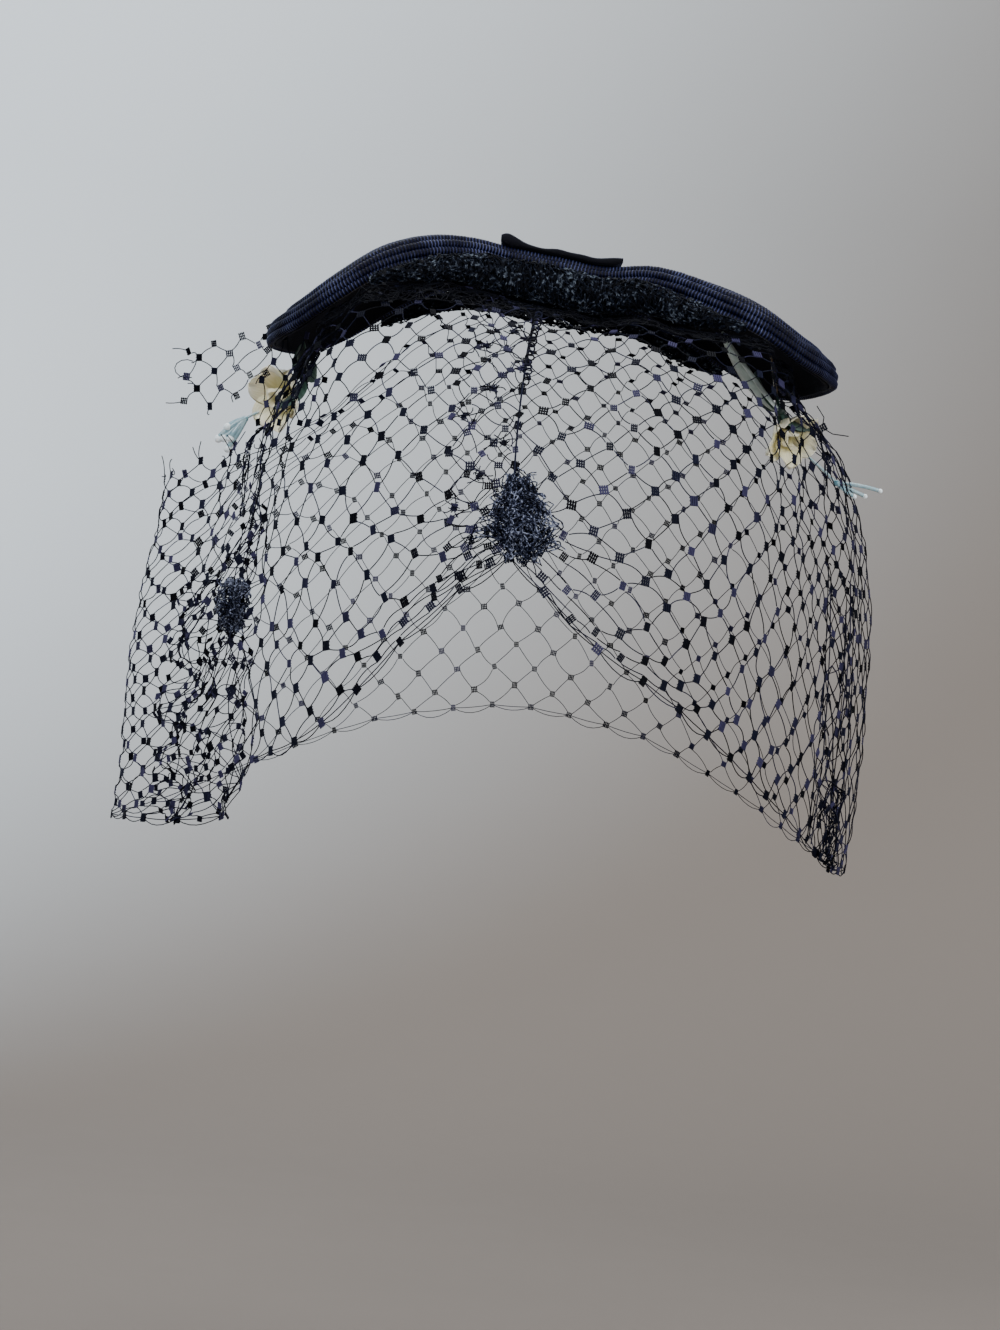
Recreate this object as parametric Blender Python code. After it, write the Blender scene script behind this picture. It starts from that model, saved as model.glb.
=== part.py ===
"""A bow-shaped half hat of sewn cord rows, with a block-net veil and small temple flowers.

The part stands in its worn pose. The origin is the seat, the top of the wearer's head.
+Z is up, the wearer faces +Y and +X is the wearer's right. The tables and the named
sizes are in millimetres, and MM turns them into metres as each mesh is made.
"""

import math
from collections import namedtuple

import bmesh
import bpy
import numpy as np
from mathutils import Euler, Vector

MM = 0.001
GAP = 0.4  # clearance between neighbouring pieces
SHARP_ANGLE = math.radians(40.0)

# ---------------------------------------------------------------- the hat's sizes

SPINE_Y = -1.0  # the middle line of the wings, front to back
KNOT_HALF_DEPTH = 20.0  # half the bow's depth where the knot pinches it
WING_HALF_DEPTH = 34.0  # half its depth at the widest place
PINCH_END_X = 10.0  # the wings start to widen here
WIDEST_X = 51.0
TIP_X = 78.5
SPINE_END_X = 46.0
EDGE_DROP = 5.0  # how far the dished top falls to its edge at the widest place

CORD_RADIUS = 1.05
TOP_INSET = 3.7  # the top ends this far inside the rim's outermost cord
SHELL_THICK = 2.0
LINING_THICK = 1.0
KNOT_CLEAR = 0.55  # the strip's clearance over the cords, at its middle
KNOT_EDGE_LIFT = 0.65  # and how much more it stands off at its front and back edges
KNOT_INSET = 1.2  # how far the strip ends inside the bow's edges
KNOT_END_ROUND = 0.35
KNOT_SHARES = (-1.0, -0.97, -0.6, -0.2, 0.2, 0.6, 0.97, 1.0)

HatRow = namedtuple("HatRow", "x crown front_dip")
HAT_ROWS = (
    HatRow(-78.5, -11.0, 3.0),
    HatRow(-70.5, -5.8, 3.0),
    HatRow(-60.5, 2.6, 3.0),
    HatRow(-48.3, 11.3, 2.2),
    HatRow(-36.0, 15.2, 1.2),
    HatRow(-24.0, 15.4, 0.5),
    HatRow(-12.0, 13.1, 0.0),
    HatRow(0.0, 11.6, 0.0),
    HatRow(12.0, 10.1, 0.0),
    HatRow(24.0, 11.4, 1.0),
    HatRow(40.5, 8.4, 3.0),
    HatRow(56.0, 2.8, 5.0),
    HatRow(67.0, -4.3, 6.5),
    HatRow(78.5, -11.0, 6.5),
)

# The rim's stacked cords: how far out and down from the edge each one lies, and the
# direction that it faces, from straight up (0) to straight out (90).
CordRow = namedtuple("CordRow", "out down facing")
RIM_CORDS = (
    CordRow(-2.5, 0.3, 22.0),
    CordRow(-0.8, 1.7, 58.0),
    CordRow(0.0, 3.7, 86.0),
    CordRow(0.0, 5.8, 92.0),
)
RIM_BOTTOM = RIM_CORDS[-1].down + CORD_RADIUS

KnotRow = namedtuple("KnotRow", "x thick round_off")
KNOT_ROWS = (
    KnotRow(-16.6, 2.2, 0.5),
    KnotRow(-15.6, 2.8, 0.0),
    KnotRow(-12.0, 2.6, 0.0),
    KnotRow(-10.0, 1.8, 0.0),
    KnotRow(0.0, 1.8, 0.0),
    KnotRow(12.0, 1.9, 0.0),
    KnotRow(16.0, 2.1, 0.0),
    KnotRow(17.0, 1.9, 0.5),
)

# The crumpled net sewn along the rim: how far it reaches up over the rim and its height.
GatherRow = namedtuple("GatherRow", "x lift height")
GATHER_ROWS = (
    GatherRow(-50.0, 0.6, 2.2),
    GatherRow(-40.0, 1.2, 5.2),
    GatherRow(-20.0, 3.4, 9.6),
    GatherRow(0.0, 4.8, 11.2),
    GatherRow(20.0, 3.4, 9.6),
    GatherRow(40.0, 1.2, 6.4),
    GatherRow(50.0, 0.6, 2.2),
)
GATHER_HALF_THICK = 2.0
GATHER_WAIST = 0.72  # the roll's thickness between two folds, as a share of a fold's
GATHER_END_SHARE = 0.55  # its thickness at its ends, as a share of its middle's
GATHER_END_LENGTH = 8.0  # the length over which it thins
GATHER_OUT = CORD_RADIUS + GAP + GATHER_HALF_THICK

# ---------------------------------------------------------------- the veil's sizes

VEIL_AXIS_X = -3.0  # the upright line that azimuths turn about; it stands at y = 0
NET_THICK = 1.2
NET_BAR_HALF = 2.0  # the least half width of a bar
WIDEST_GAP = 21.0  # bars widen round a gap that would be wider across than this
SEAM_AZIMUTH = -3.6  # the middle seam of the back
SIDE_AZIMUTH = 88.0  # where the back panels end and the front begins
TIP_TUCK = 7.0  # the net is sewn this far inside the wings' tips
TUCK_START_X = 47.0  # where the sewn line starts to move in under the wings
TUCK_LENGTH = 20.0
NET_HANG = GAP + 0.6 * NET_THICK  # the net's middle starts this far under the hat
ROW_STRETCH = 1.35  # net rows are longer near the hat than at the hem

# Azimuth is measured from the middle of the back towards +X. Reach is the distance
# from the axis. The net runs from the hat over the shoulder place down to the hem.
VeilRow = namedtuple("VeilRow", "azimuth shoulder_reach shoulder_z hem_reach hem_z")
VEIL_ROWS = (
    VeilRow(-180.0, 108, -24, 118, -113),
    VeilRow(-160.0, 112, -30, 122, -121),
    VeilRow(-140.0, 118, -40, 126, -138),
    VeilRow(-125.0, 127, -95, 128, -150),
    VeilRow(-114.0, 127, -100, 127, -154),
    VeilRow(-105.0, 109, -95, 113, -153),
    VeilRow(-95.0, 92, -90, 97, -152),
    VeilRow(-79.0, 80, -42, 79, -148),
    VeilRow(-63.0, 84, -32, 80, -134),
    VeilRow(-49.5, 87, -28, 82, -128.5),
    VeilRow(-32.0, 93, -25, 87, -119),
    VeilRow(-22.0, 95, -23, 91.5, -106),
    VeilRow(-14.4, 93, -22, 95.5, -92),
    VeilRow(-3.6, 86.5, -22, 97.6, -80),
    VeilRow(11.0, 94, -22, 96, -97),
    VeilRow(20.0, 96, -22, 93.5, -106),
    VeilRow(33.0, 93, -25, 87, -117),
    VeilRow(53.0, 86, -28, 81, -130),
    VeilRow(75.0, 88, -40, 84, -143),
    VeilRow(90.0, 100, -50, 92, -151),
    VeilRow(105.0, 115, -50, 101, -151),
    VeilRow(122.0, 117, -45, 106, -147),
    VeilRow(140.0, 116, -38, 114, -136),
    VeilRow(160.0, 112, -30, 119, -120),
    VeilRow(180.0, 108, -24, 118, -113),
)

# The free upper edge of the net at the left temple, where it isn't sewn to the hat.
NotchRow = namedtuple("NotchRow", "azimuth reach z share")
NOTCH_ROWS = (
    NotchRow(-152.0, 122, -44, 0.0),
    NotchRow(-138.0, 125, -46, 0.75),
    NotchRow(-125.0, 125, -50, 1.0),
    NotchRow(-114.0, 119, -54, 1.0),
    NotchRow(-105.0, 97, -49, 1.0),
    NotchRow(-95.0, 84, -46, 1.0),
    NotchRow(-88.0, 79, -46, 1.0),
)

# The loose corner of net at the left tip: its upper and its lower edge.
FlapRow = namedtuple("FlapRow", "share x y top_z bottom_z")
FLAP_ROWS = (
    FlapRow(0.0, -79.35, 1.0, -12.2, -25.0),
    FlapRow(0.5, -91.0, 4.0, -16.5, -34.5),
    FlapRow(1.0, -102.5, 8.0, -20.0, -34.0),
)

# The knots of crumpled net. Each lies its clearance off the smooth sheet, which is more
# or less than the clearance to the net's flat bars.
LumpRow = namedtuple(
    "LumpRow", "name azimuth drop half_width half_height half_depth clear"
)
LUMP_ROWS = (
    LumpRow("back_pinch", -1.7, 0.865, 10.0, 11.5, 4.0, -0.8),
    LumpRow("side_pinch", -75.0, 0.71, 5.0, 8.0, 3.0, 0.6),
)

# ---------------------------------------------------------------- the flowers' sizes

PETALS = 5
PETAL_LENGTH = 11.8
PETAL_WIDTH = 10.2
PETAL_THICK = 0.8
LEAF_THICK = 0.8
PIPS = 5
PIP_STEM_RADIUS = 0.6
PIP_HEAD_RADIUS = 0.9

# Each flower: its middle, the way it faces as turns about X and Z, and its stem's end
# under the hat.
FlowerRow = namedtuple("FlowerRow", "side x y z tilt turn stem_x stem_y stem_z")
FLOWER_ROWS = (
    FlowerRow("left", -75.0, 17.0, -31.5, 105.0, -40.0, -72.5, 17.6, -17.6),
    FlowerRow("right", 66.2, 11.0, -32.5, 100.0, 40.0, 61.0, 8.0, -5.6),
)
# Each spray: its binding, the way it points, the length of wire that runs back from the
# binding to the flower, and the length of its longest stamen.
SprayRow = namedtuple("SprayRow", "side x y z tilt turn wire length")
SPRAY_ROWS = (
    SprayRow("left", -85.0, 18.2, -40.2, 135.0, -90.0, 2.5, 10.0),
    SprayRow("right", 79.5, 12.5, -47.0, 103.0, 90.0, 10.9, 13.0),
)
# The leaves of a bunch grow from one binding, which is wired to the flower's stem.
WIRE_RADIUS = 0.6
LEAF_WIRE = {"left": 8.5, "right": 10.1}
STEM_SHARE = 0.5  # how far up the flower's stem the leaves are wired
LeafRow = namedtuple("LeafRow", "side x y z length width tilt turn")
LEAF_ROWS = (
    LeafRow("left", -69.0, 9.0, -27.0, 10.0, 5.5, 25.0, 60.0),
    LeafRow("left", -69.0, 9.0, -27.3, 14.0, 6.0, 160.0, 0.0),
    LeafRow("left", -69.0, 9.4, -27.0, 11.0, 5.0, 130.0, 115.0),
    LeafRow("right", 57.0, 4.0, -27.0, 12.0, 6.0, 86.0, 63.0),
    LeafRow("right", 57.0, 4.0, -27.3, 13.0, 6.0, 133.0, -52.0),
    LeafRow("right", 57.0, 4.4, -27.0, 24.0, 4.5, 53.0, -33.0),
)


# ---------------------------------------------------------------- tools for the pieces


def column(rows, key, value, at):
    """The value of a table's column at a place between its rows, on a smooth curve."""
    keys = np.array([getattr(row, key) for row in rows], float)
    values = np.array([getattr(row, value) for row in rows], float)
    slopes = np.gradient(values, keys)
    at = min(max(at, keys[0]), keys[-1])
    place = min(max(int(np.searchsorted(keys, at)) - 1, 0), len(keys) - 2)
    width = keys[place + 1] - keys[place]
    t = (at - keys[place]) / width
    start = (1 + 2 * t) * (1 - t) ** 2 * values[place]
    start_slope = t * (1 - t) ** 2 * width * slopes[place]
    end = t * t * (3 - 2 * t) * values[place + 1]
    end_slope = t * t * (t - 1) * width * slopes[place + 1]
    return float(start + start_slope + end + end_slope)


def eased(t):
    """A smooth step from 0 to 1."""
    t = min(max(t, 0.0), 1.0)
    return t * t * (3 - 2 * t)


def blend(a, b, share):
    return a + (b - a) * share


def clear_scene():
    for old in list(bpy.data.objects):
        bpy.data.objects.remove(old, do_unlink=True)


def material(name, colour, roughness):
    made = bpy.data.materials.new(name)
    made.use_nodes = True
    shader = made.node_tree.nodes["Principled BSDF"]
    shader.inputs["Base Color"].default_value = (*colour, 1.0)
    shader.inputs["Roughness"].default_value = roughness
    shader.inputs["Metallic"].default_value = 0.0
    return made


def mesh_object(name, work, finish):
    """Turns a finished bmesh in metres into a named object with its material."""
    mesh = bpy.data.meshes.new(name)
    work.to_mesh(mesh)
    work.free()
    mesh.materials.append(finish)
    mesh.shade_smooth()
    mesh.set_sharp_from_angle(angle=SHARP_ANGLE)
    made = bpy.data.objects.new(name, mesh)
    bpy.context.scene.collection.objects.link(made)
    return made


def chain_solid(name, chains, finish, closed):
    """A solid from equal rows of points: each row joins the next, and the ends are capped.

    A closed row is a loop. An open row is a wall's outer line and its inner line in one,
    and where its ends meet those of other rows, the points are merged.
    """
    work = bmesh.new()
    rows = [[work.verts.new(Vector(p) * MM) for p in chain] for chain in chains]
    count = len(rows[0])
    for one, two in zip(rows, rows[1:]):
        for k in range(count if closed else count - 1):
            after = (k + 1) % count
            work.faces.new((one[k], one[after], two[after], two[k]))
    work.faces.new(rows[0])
    work.faces.new(rows[-1])
    bmesh.ops.remove_doubles(work, verts=work.verts, dist=0.002 * MM)
    bmesh.ops.recalc_face_normals(work, faces=work.faces)
    return mesh_object(name, work, finish)


def fused(parts):
    """Joins overlapping objects into the first one, as one closed solid."""
    first = parts[0]
    bpy.context.view_layer.update()
    for part in parts[1:]:
        union = first.modifiers.new("union", "BOOLEAN")
        union.operation = "UNION"
        union.solver = "EXACT"
        union.object = part
        graph = bpy.context.evaluated_depsgraph_get()
        joined = bpy.data.meshes.new_from_object(first.evaluated_get(graph))
        work = bmesh.new()
        work.from_mesh(joined)
        bmesh.ops.remove_doubles(work, verts=work.verts, dist=0.005 * MM)
        work.to_mesh(joined)
        work.free()
        joined.shade_smooth()
        joined.set_sharp_from_angle(angle=SHARP_ANGLE)
        first.modifiers.clear()
        first.data = joined
        bpy.data.objects.remove(part, do_unlink=True)
    return first


# ---------------------------------------------------------------- the hat's form


def crown_height(x, y):
    """Height of the dished top at a place in plan."""
    depth = (y - SPINE_Y) / WING_HALF_DEPTH
    drop = EDGE_DROP
    if depth > 0:
        drop += column(HAT_ROWS, "x", "front_dip", x)
    return column(HAT_ROWS, "x", "crown", x) - drop * depth * depth


def half_depth(x):
    """Half the bow's depth between the knot and the widest place."""
    share = eased((x - PINCH_END_X) / (WIDEST_X - PINCH_END_X))
    return blend(KNOT_HALF_DEPTH, WING_HALF_DEPTH, share)


def wing_plan(side, straight_steps, tip_steps):
    """Stations round a wing, from the knot's back edge round the tip to its front edge.

    Each is the edge point, the spine point and the outward direction, in plan.
    """
    start = GAP / 2
    xs = np.linspace(start, WIDEST_X, straight_steps + 1)
    spine_scale = (SPINE_END_X - start) / (WIDEST_X - start)
    back = [(x, SPINE_Y - half_depth(x), start + (x - start) * spine_scale) for x in xs]
    turns = np.radians(np.linspace(-90, 90, tip_steps + 1))[1:-1]
    tip_length = TIP_X - WIDEST_X
    tip = [
        (
            WIDEST_X + tip_length * math.cos(a),
            SPINE_Y + WING_HALF_DEPTH * math.sin(a),
            SPINE_END_X,
        )
        for a in turns
    ]
    front = [(x, 2 * SPINE_Y - y, spine) for x, y, spine in reversed(back)]
    places = back + tip + front
    stations = []
    for k, (x, y, spine) in enumerate(places):
        before = places[max(k - 1, 0)]
        after = places[min(k + 1, len(places) - 1)]
        out = Vector((after[1] - before[1], before[0] - after[0])).normalized()
        if k in (0, len(places) - 1):
            out = Vector((0.0, -1.0 if k == 0 else 1.0))
        stations.append(
            (
                Vector((side * x, y)),
                Vector((side * spine, SPINE_Y)),
                Vector((side * out.x, out.y)),
            )
        )
    return stations


WING_PLANS = {side: wing_plan(side, 7, 12) for side in (-1, 1)}
TOP_RINGS = (0.0, 0.35, 0.7, 1.0)


def wing_layer(station, lift, rim):
    """One face of a wing's wall at a station: from the spine to the edge, then the rim.

    lift raises the top's points, and rim lists (out, down) from the edge.
    """
    edge, spine, out = station
    edge_z = crown_height(edge.x, edge.y)
    top_end = edge - out * TOP_INSET
    points = []
    for share in TOP_RINGS:
        place = spine.lerp(top_end, share)
        points.append((place.x, place.y, crown_height(place.x, place.y) + lift))
    for outward, down in rim:
        place = edge + out * outward
        points.append((place.x, place.y, edge_z - down))
    return points


def cord_relief():
    """The rim's outer face as (out, down): a raised ridge for each stacked cord."""
    points = []
    for k, cord in enumerate(RIM_CORDS):
        for turn in (-32.0, 32.0):
            angle = math.radians(cord.facing + turn)
            out = cord.out + CORD_RADIUS * math.sin(angle)
            points.append((out, cord.down - CORD_RADIUS * math.cos(angle)))
        if k + 1 < len(RIM_CORDS):
            after = RIM_CORDS[k + 1]
            angle = math.radians((cord.facing + after.facing) / 2)
            depth = 0.4 * CORD_RADIUS
            out = (cord.out + after.out) / 2 + depth * math.sin(angle)
            points.append((out, (cord.down + after.down) / 2 - depth * math.cos(angle)))
    points.append((0.0, RIM_BOTTOM))
    return points


SHELL_OUTER = cord_relief()
SHELL_INNER = ((-1.7, 2.9), (-CORD_RADIUS, 4.0), (-CORD_RADIUS, RIM_BOTTOM - 0.25))


def make_wing(name, side, finish):
    chains = []
    for station in WING_PLANS[side]:
        outer = wing_layer(station, 0.0, SHELL_OUTER)
        inner = wing_layer(station, -SHELL_THICK, SHELL_INNER)
        chains.append(outer + inner[::-1])
    return chain_solid(name, chains, finish, closed=False)


def make_lining(name, side, finish):
    face = CORD_RADIUS + GAP
    back = face + LINING_THICK
    bottom = RIM_BOTTOM - 0.45
    outer_rim = ((-2.05, 3.3), (-face, 4.3), (-face, bottom))
    inner_rim = ((-2.95, 4.1), (-back, 4.8), (-back, bottom))
    lift = -SHELL_THICK - GAP
    chains = []
    for station in WING_PLANS[side]:
        outer = wing_layer(station, lift, outer_rim)
        inner = wing_layer(station, lift - LINING_THICK, inner_rim)
        chains.append(outer + inner[::-1])
    return chain_solid(name, chains, finish, closed=False)


def make_knot(finish):
    """The velvet strip that lies over the pinched middle, from edge to edge."""
    loops = []
    for row in KNOT_ROWS:
        reach = half_depth(abs(row.x)) - KNOT_INSET
        under = []
        over = []
        for share in KNOT_SHARES:
            y = SPINE_Y + reach * share
            clear = KNOT_CLEAR + KNOT_EDGE_LIFT * share * share + row.round_off
            base = crown_height(row.x, y) + clear
            end_round = KNOT_END_ROUND if abs(share) == 1.0 else 0.0
            under.append((row.x, y, base + end_round))
            top = base + row.thick - row.round_off - end_round
            over.append((row.x, y, top))
        loops.append(under + over[::-1])
    return chain_solid("knot", loops, finish, closed=True)


# ---------------------------------------------------------------- the crumpled net edge


def rim_station(x, facing):
    """The rim at a place along the bow: its edge point and the way out, in plan.

    facing is -1 at the back of the hat and 1 at its front.
    """
    width = abs(x)
    if width <= WIDEST_X:
        depth = half_depth(width)
        slope = (half_depth(width + 0.1) - half_depth(width - 0.1)) / 0.2
        out = Vector((-slope * math.copysign(1.0, x), facing)).normalized()
    else:
        share = min((width - WIDEST_X) / (TIP_X - WIDEST_X), 1.0)
        depth = WING_HALF_DEPTH * math.sqrt(1 - share * share)
        across = share / (TIP_X - WIDEST_X)
        along = math.sqrt(1 - share * share) / WING_HALF_DEPTH
        out = Vector((math.copysign(across, x), facing * along)).normalized()
    return Vector((x, SPINE_Y + facing * depth)), out


def make_gather(name, facing, finish):
    """The net's crumpled edge, a wavy roll against the rim's lower cords."""
    steps = 30
    loops = []
    end = GATHER_ROWS[-1].x
    for k in range(steps + 1):
        x = blend(-end, end, k / steps)
        edge, out = rim_station(x, facing)
        lift = column(GATHER_ROWS, "x", "lift", x)
        height = column(GATHER_ROWS, "x", "height", x)
        taper = blend(GATHER_END_SHARE, 1.0, eased((end - abs(x)) / GATHER_END_LENGTH))
        thick = GATHER_HALF_THICK * taper * (1.0 if k % 2 else GATHER_WAIST)
        middle_out = GATHER_OUT - GATHER_HALF_THICK + thick
        bottom = crown_height(edge.x, edge.y) - RIM_BOTTOM + lift - height
        middle_z = bottom + height / 2
        loop = []
        for turn in range(8):
            angle = math.radians(45.0 * turn)
            place = edge + out * (middle_out + thick * math.cos(angle))
            loop.append((place.x, place.y, middle_z + height / 2 * math.sin(angle)))
        loops.append(loop)
    return chain_solid(name, loops, finish, closed=True)


# ---------------------------------------------------------------- the veil's form


def sewn_edge(azimuth):
    """Where the net leaves the hat in a direction: under its gathered edge or its rim."""
    angle = math.radians(azimuth)
    x = TIP_X * math.sin(angle)
    edge, out = rim_station(x, -1 if math.cos(angle) > 0 else 1)
    tuck = eased((abs(x) - TUCK_START_X) / TUCK_LENGTH)
    place = edge + out * blend(GATHER_OUT, -TIP_TUCK, tuck)
    fold = column(GATHER_ROWS, "x", "height", x) - column(GATHER_ROWS, "x", "lift", x)
    hang = fold * (1 - eased((abs(x) - GATHER_ROWS[-1].x) / GATHER_END_LENGTH))
    z = crown_height(edge.x, edge.y) - RIM_BOTTOM - hang - NET_HANG
    return Vector((place.x, place.y, z))


def at_bearing(azimuth, reach, z):
    """A point at a distance from the veil's axis in a direction."""
    angle = math.radians(azimuth)
    return Vector((VEIL_AXIS_X + reach * math.sin(angle), -reach * math.cos(angle), z))


def veil_row(azimuth, value):
    azimuth = (azimuth + 180.0) % 360.0 - 180.0
    return column(VEIL_ROWS, "azimuth", value, azimuth)


def veil_point(azimuth, drop, free_edge=False):
    """A point on the veil: drop runs from 0 at the hat to 1 at the hem.

    With free_edge, the net starts at the loose edge of the left temple.
    """
    top = sewn_edge(azimuth)
    turned = azimuth - 360.0 if azimuth > 180.0 else azimuth
    if free_edge and turned < 0 and turned > NOTCH_ROWS[0].azimuth:
        share = column(NOTCH_ROWS, "azimuth", "share", turned)
        reach = column(NOTCH_ROWS, "azimuth", "reach", turned)
        loose = at_bearing(turned, reach, column(NOTCH_ROWS, "azimuth", "z", turned))
        top = top.lerp(loose, share)
    shoulder = at_bearing(
        azimuth, veil_row(azimuth, "shoulder_reach"), veil_row(azimuth, "shoulder_z")
    )
    hem = at_bearing(
        azimuth, veil_row(azimuth, "hem_reach"), veil_row(azimuth, "hem_z")
    )
    upper = top.lerp(shoulder, drop)
    return upper.lerp(shoulder.lerp(hem, drop), drop)


def bar_half(cell, least):
    """Half the width of the bars round a cell, so that its gap isn't over the widest."""
    rim = sum(edge.calc_length() for edge in cell.edges)
    across = 4 * cell.calc_area() / rim
    return max(least * MM, (across - WIDEST_GAP * MM) / 2)


def net_object(name, place, across, down, least_bar, finish):
    """A net of diamond gaps: place(i, j) gives a point of its 2*across by 2*down grid."""
    work = bmesh.new()
    corners = {}
    for i in range(2 * across + 1):
        for j in range(2 * down + 1):
            if (i + j) % 2 == 0:
                corners[i, j] = work.verts.new(place(i, j) * MM)
    cells = []
    for i in range(2 * across + 1):
        for j in range(2 * down + 1):
            if (i + j) % 2:
                ring = ((i - 1, j), (i, j + 1), (i + 1, j), (i, j - 1))
                cells.append(work.faces.new([corners[c] for c in ring if c in corners]))
    bmesh.ops.recalc_face_normals(work, faces=work.faces)
    for cell in cells:
        inset = bar_half(cell, least_bar)
        bmesh.ops.inset_individual(
            work, faces=[cell], thickness=inset, use_even_offset=True
        )
    bmesh.ops.delete(work, geom=cells, context="FACES_ONLY")
    made = mesh_object(name, work, finish)
    wall = made.modifiers.new("wall", "SOLIDIFY")
    wall.thickness = NET_THICK * MM
    wall.offset = 0.0
    wall.use_even_offset = True
    return made


def make_veil_panel(name, start, end, across, down, free_edge, finish):
    """One panel of the veil between two azimuths, a gap clear of its neighbours."""

    def place(i, j):
        azimuth = blend(start, end, i / (2 * across))
        drop = 1 - (1 - j / (2 * down)) ** ROW_STRETCH
        point = veil_point(azimuth, drop, free_edge)
        if i in (0, 2 * across):
            angle = math.radians(azimuth)
            inward = GAP / 2 if i == 0 else -GAP / 2
            point += Vector((math.cos(angle), math.sin(angle), 0.0)) * inward
        return point

    return net_object(name, place, across, down, NET_BAR_HALF, finish)


def make_flap(finish):
    """The loose corner of net that stands out from the left tip."""
    across = 1
    down = 1

    def place(i, j):
        share = i / (2 * across)
        x = column(FLAP_ROWS, "share", "x", share)
        y = column(FLAP_ROWS, "share", "y", share)
        top = column(FLAP_ROWS, "share", "top_z", share)
        bottom = column(FLAP_ROWS, "share", "bottom_z", share)
        return Vector((x, y, blend(top, bottom, j / (2 * down))))

    return net_object("veil_flap", place, across, down, NET_BAR_HALF / 2, finish)


def make_lump(row, finish):
    """A knot of crumpled net, flat against the outside of the veil."""
    middle = veil_point(row.azimuth, row.drop)
    angle = math.radians(row.azimuth)
    out = Vector((math.sin(angle), -math.cos(angle), 0.0))
    across = Vector((math.cos(angle), math.sin(angle), 0.0))
    up = (middle - veil_point(row.azimuth, row.drop + 0.05)).normalized()
    out = (out - up * out.dot(up)).normalized()
    middle += out * (NET_THICK / 2 + row.clear + row.half_depth)
    work = bmesh.new()
    bmesh.ops.create_icosphere(work, subdivisions=3, radius=1.0)
    for vert in work.verts:
        u, v, w = vert.co
        crumple = 1 + 0.09 * math.sin(7 * u + 3 * v) + 0.09 * math.cos(8 * v - 5 * w)
        depth = w * crumple if w > 0 else max(w * crumple, -0.9)
        vert.co = (
            middle
            + across * (u * crumple * row.half_width)
            + up * (v * crumple * row.half_height)
            + out * (depth * row.half_depth)
        ) * MM
    bmesh.ops.recalc_face_normals(work, faces=work.faces)
    return mesh_object(row.name, work, finish)


# ---------------------------------------------------------------- the flowers


def blade(name, length, width, thick, cup, curl, finish):
    """A petal or a leaf along +Z from the origin: cup lifts its sides, curl its tip."""
    loops = []
    steps = 5
    for k in range(steps + 1):
        share = k / steps
        half = width / 2 * max(math.sin(math.pi * share**1.2), 0.16)
        rise = curl * share * share
        lower = []
        upper = []
        for across in (-1.0, 0.0, 1.0):
            y = rise - cup * across * across * half / width
            lower.append((across * half, y, length * share))
            upper.append((across * half, y + thick, length * share))
        loops.append(lower + upper[::-1])
    return chain_solid(name, loops, finish, closed=True)


def placed(made, position, turned):
    """Puts a piece that was made along +Z at its place, turned by a matrix."""
    made.rotation_euler = turned.to_euler("XYZ")
    made.location = Vector(position) * MM
    return made


def leaning(tilt, turn):
    """The turn that leans +Z over by tilt towards -Y, and then turns it about +Z."""
    return Euler((math.radians(tilt), 0.0, math.radians(turn))).to_matrix()


def ball(name, radius, position, finish, rings=5, segments=8):
    work = bmesh.new()
    bmesh.ops.create_uvsphere(
        work, u_segments=segments, v_segments=rings, radius=radius * MM
    )
    bmesh.ops.translate(work, verts=work.verts, vec=Vector(position) * MM)
    return mesh_object(name, work, finish)


def rod(name, start, end, radius, finish, sides=6):
    """A thin round stem between two points."""
    axis = (Vector(end) - Vector(start)).normalized()
    side = axis.cross(Vector((0.3, 0.8, 0.5))).normalized()
    other = axis.cross(side)
    loops = []
    for middle in (Vector(start), Vector(end)):
        loops.append(
            [
                middle
                + (
                    side * math.cos(2 * math.pi * k / sides)
                    + other * math.sin(2 * math.pi * k / sides)
                )
                * radius
                for k in range(sides)
            ]
        )
    return chain_solid(name, loops, finish, closed=True)


def make_blossom(row, finish):
    """Cupped petals round a small heart, on a stem that is sewn under the hat."""
    middle = Vector((row.x, row.y, row.z))
    parts = [ball(row.side + "_blossom", 2.6, middle, finish)]
    lean = leaning(row.tilt, row.turn)
    for k in range(PETALS):
        petal = blade("petal", PETAL_LENGTH, PETAL_WIDTH, PETAL_THICK, 3.0, -1.5, finish)
        around = Euler((0.0, 0.0, 2 * math.pi * k / PETALS)).to_matrix()
        opened = Euler((math.radians(-52.0 - 4.0 * (k % 3)), 0.0, 0.07 * k)).to_matrix()
        parts.append(placed(petal, middle, lean @ around @ opened))
    stem_end = (row.stem_x, row.stem_y, row.stem_z)
    parts.append(rod("stem", middle, stem_end, 0.7, finish))
    return fused(parts)


def make_leaves(flower, finish):
    """A bunch of leaves from one binding, wired to its flower's stem."""
    rows = [row for row in LEAF_ROWS if row.side == flower.side]
    first = rows[0]
    binding = Vector((first.x, first.y, first.z))
    heart = Vector((flower.x, flower.y, flower.z))
    stem_end = Vector((flower.stem_x, flower.stem_y, flower.stem_z))
    way = (heart.lerp(stem_end, STEM_SHARE) - binding).normalized()
    wire_end = binding + way * LEAF_WIRE[flower.side]
    parts = [ball(flower.side + "_leaves", 1.6, binding, finish)]
    parts.append(rod("wire", binding, wire_end, WIRE_RADIUS, finish))
    for row in rows:
        leaf = blade("leaf", row.length, row.width, LEAF_THICK, 1.5, 2.0, finish)
        parts.append(placed(leaf, (row.x, row.y, row.z), leaning(row.tilt, row.turn)))
    return fused(parts)


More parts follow.
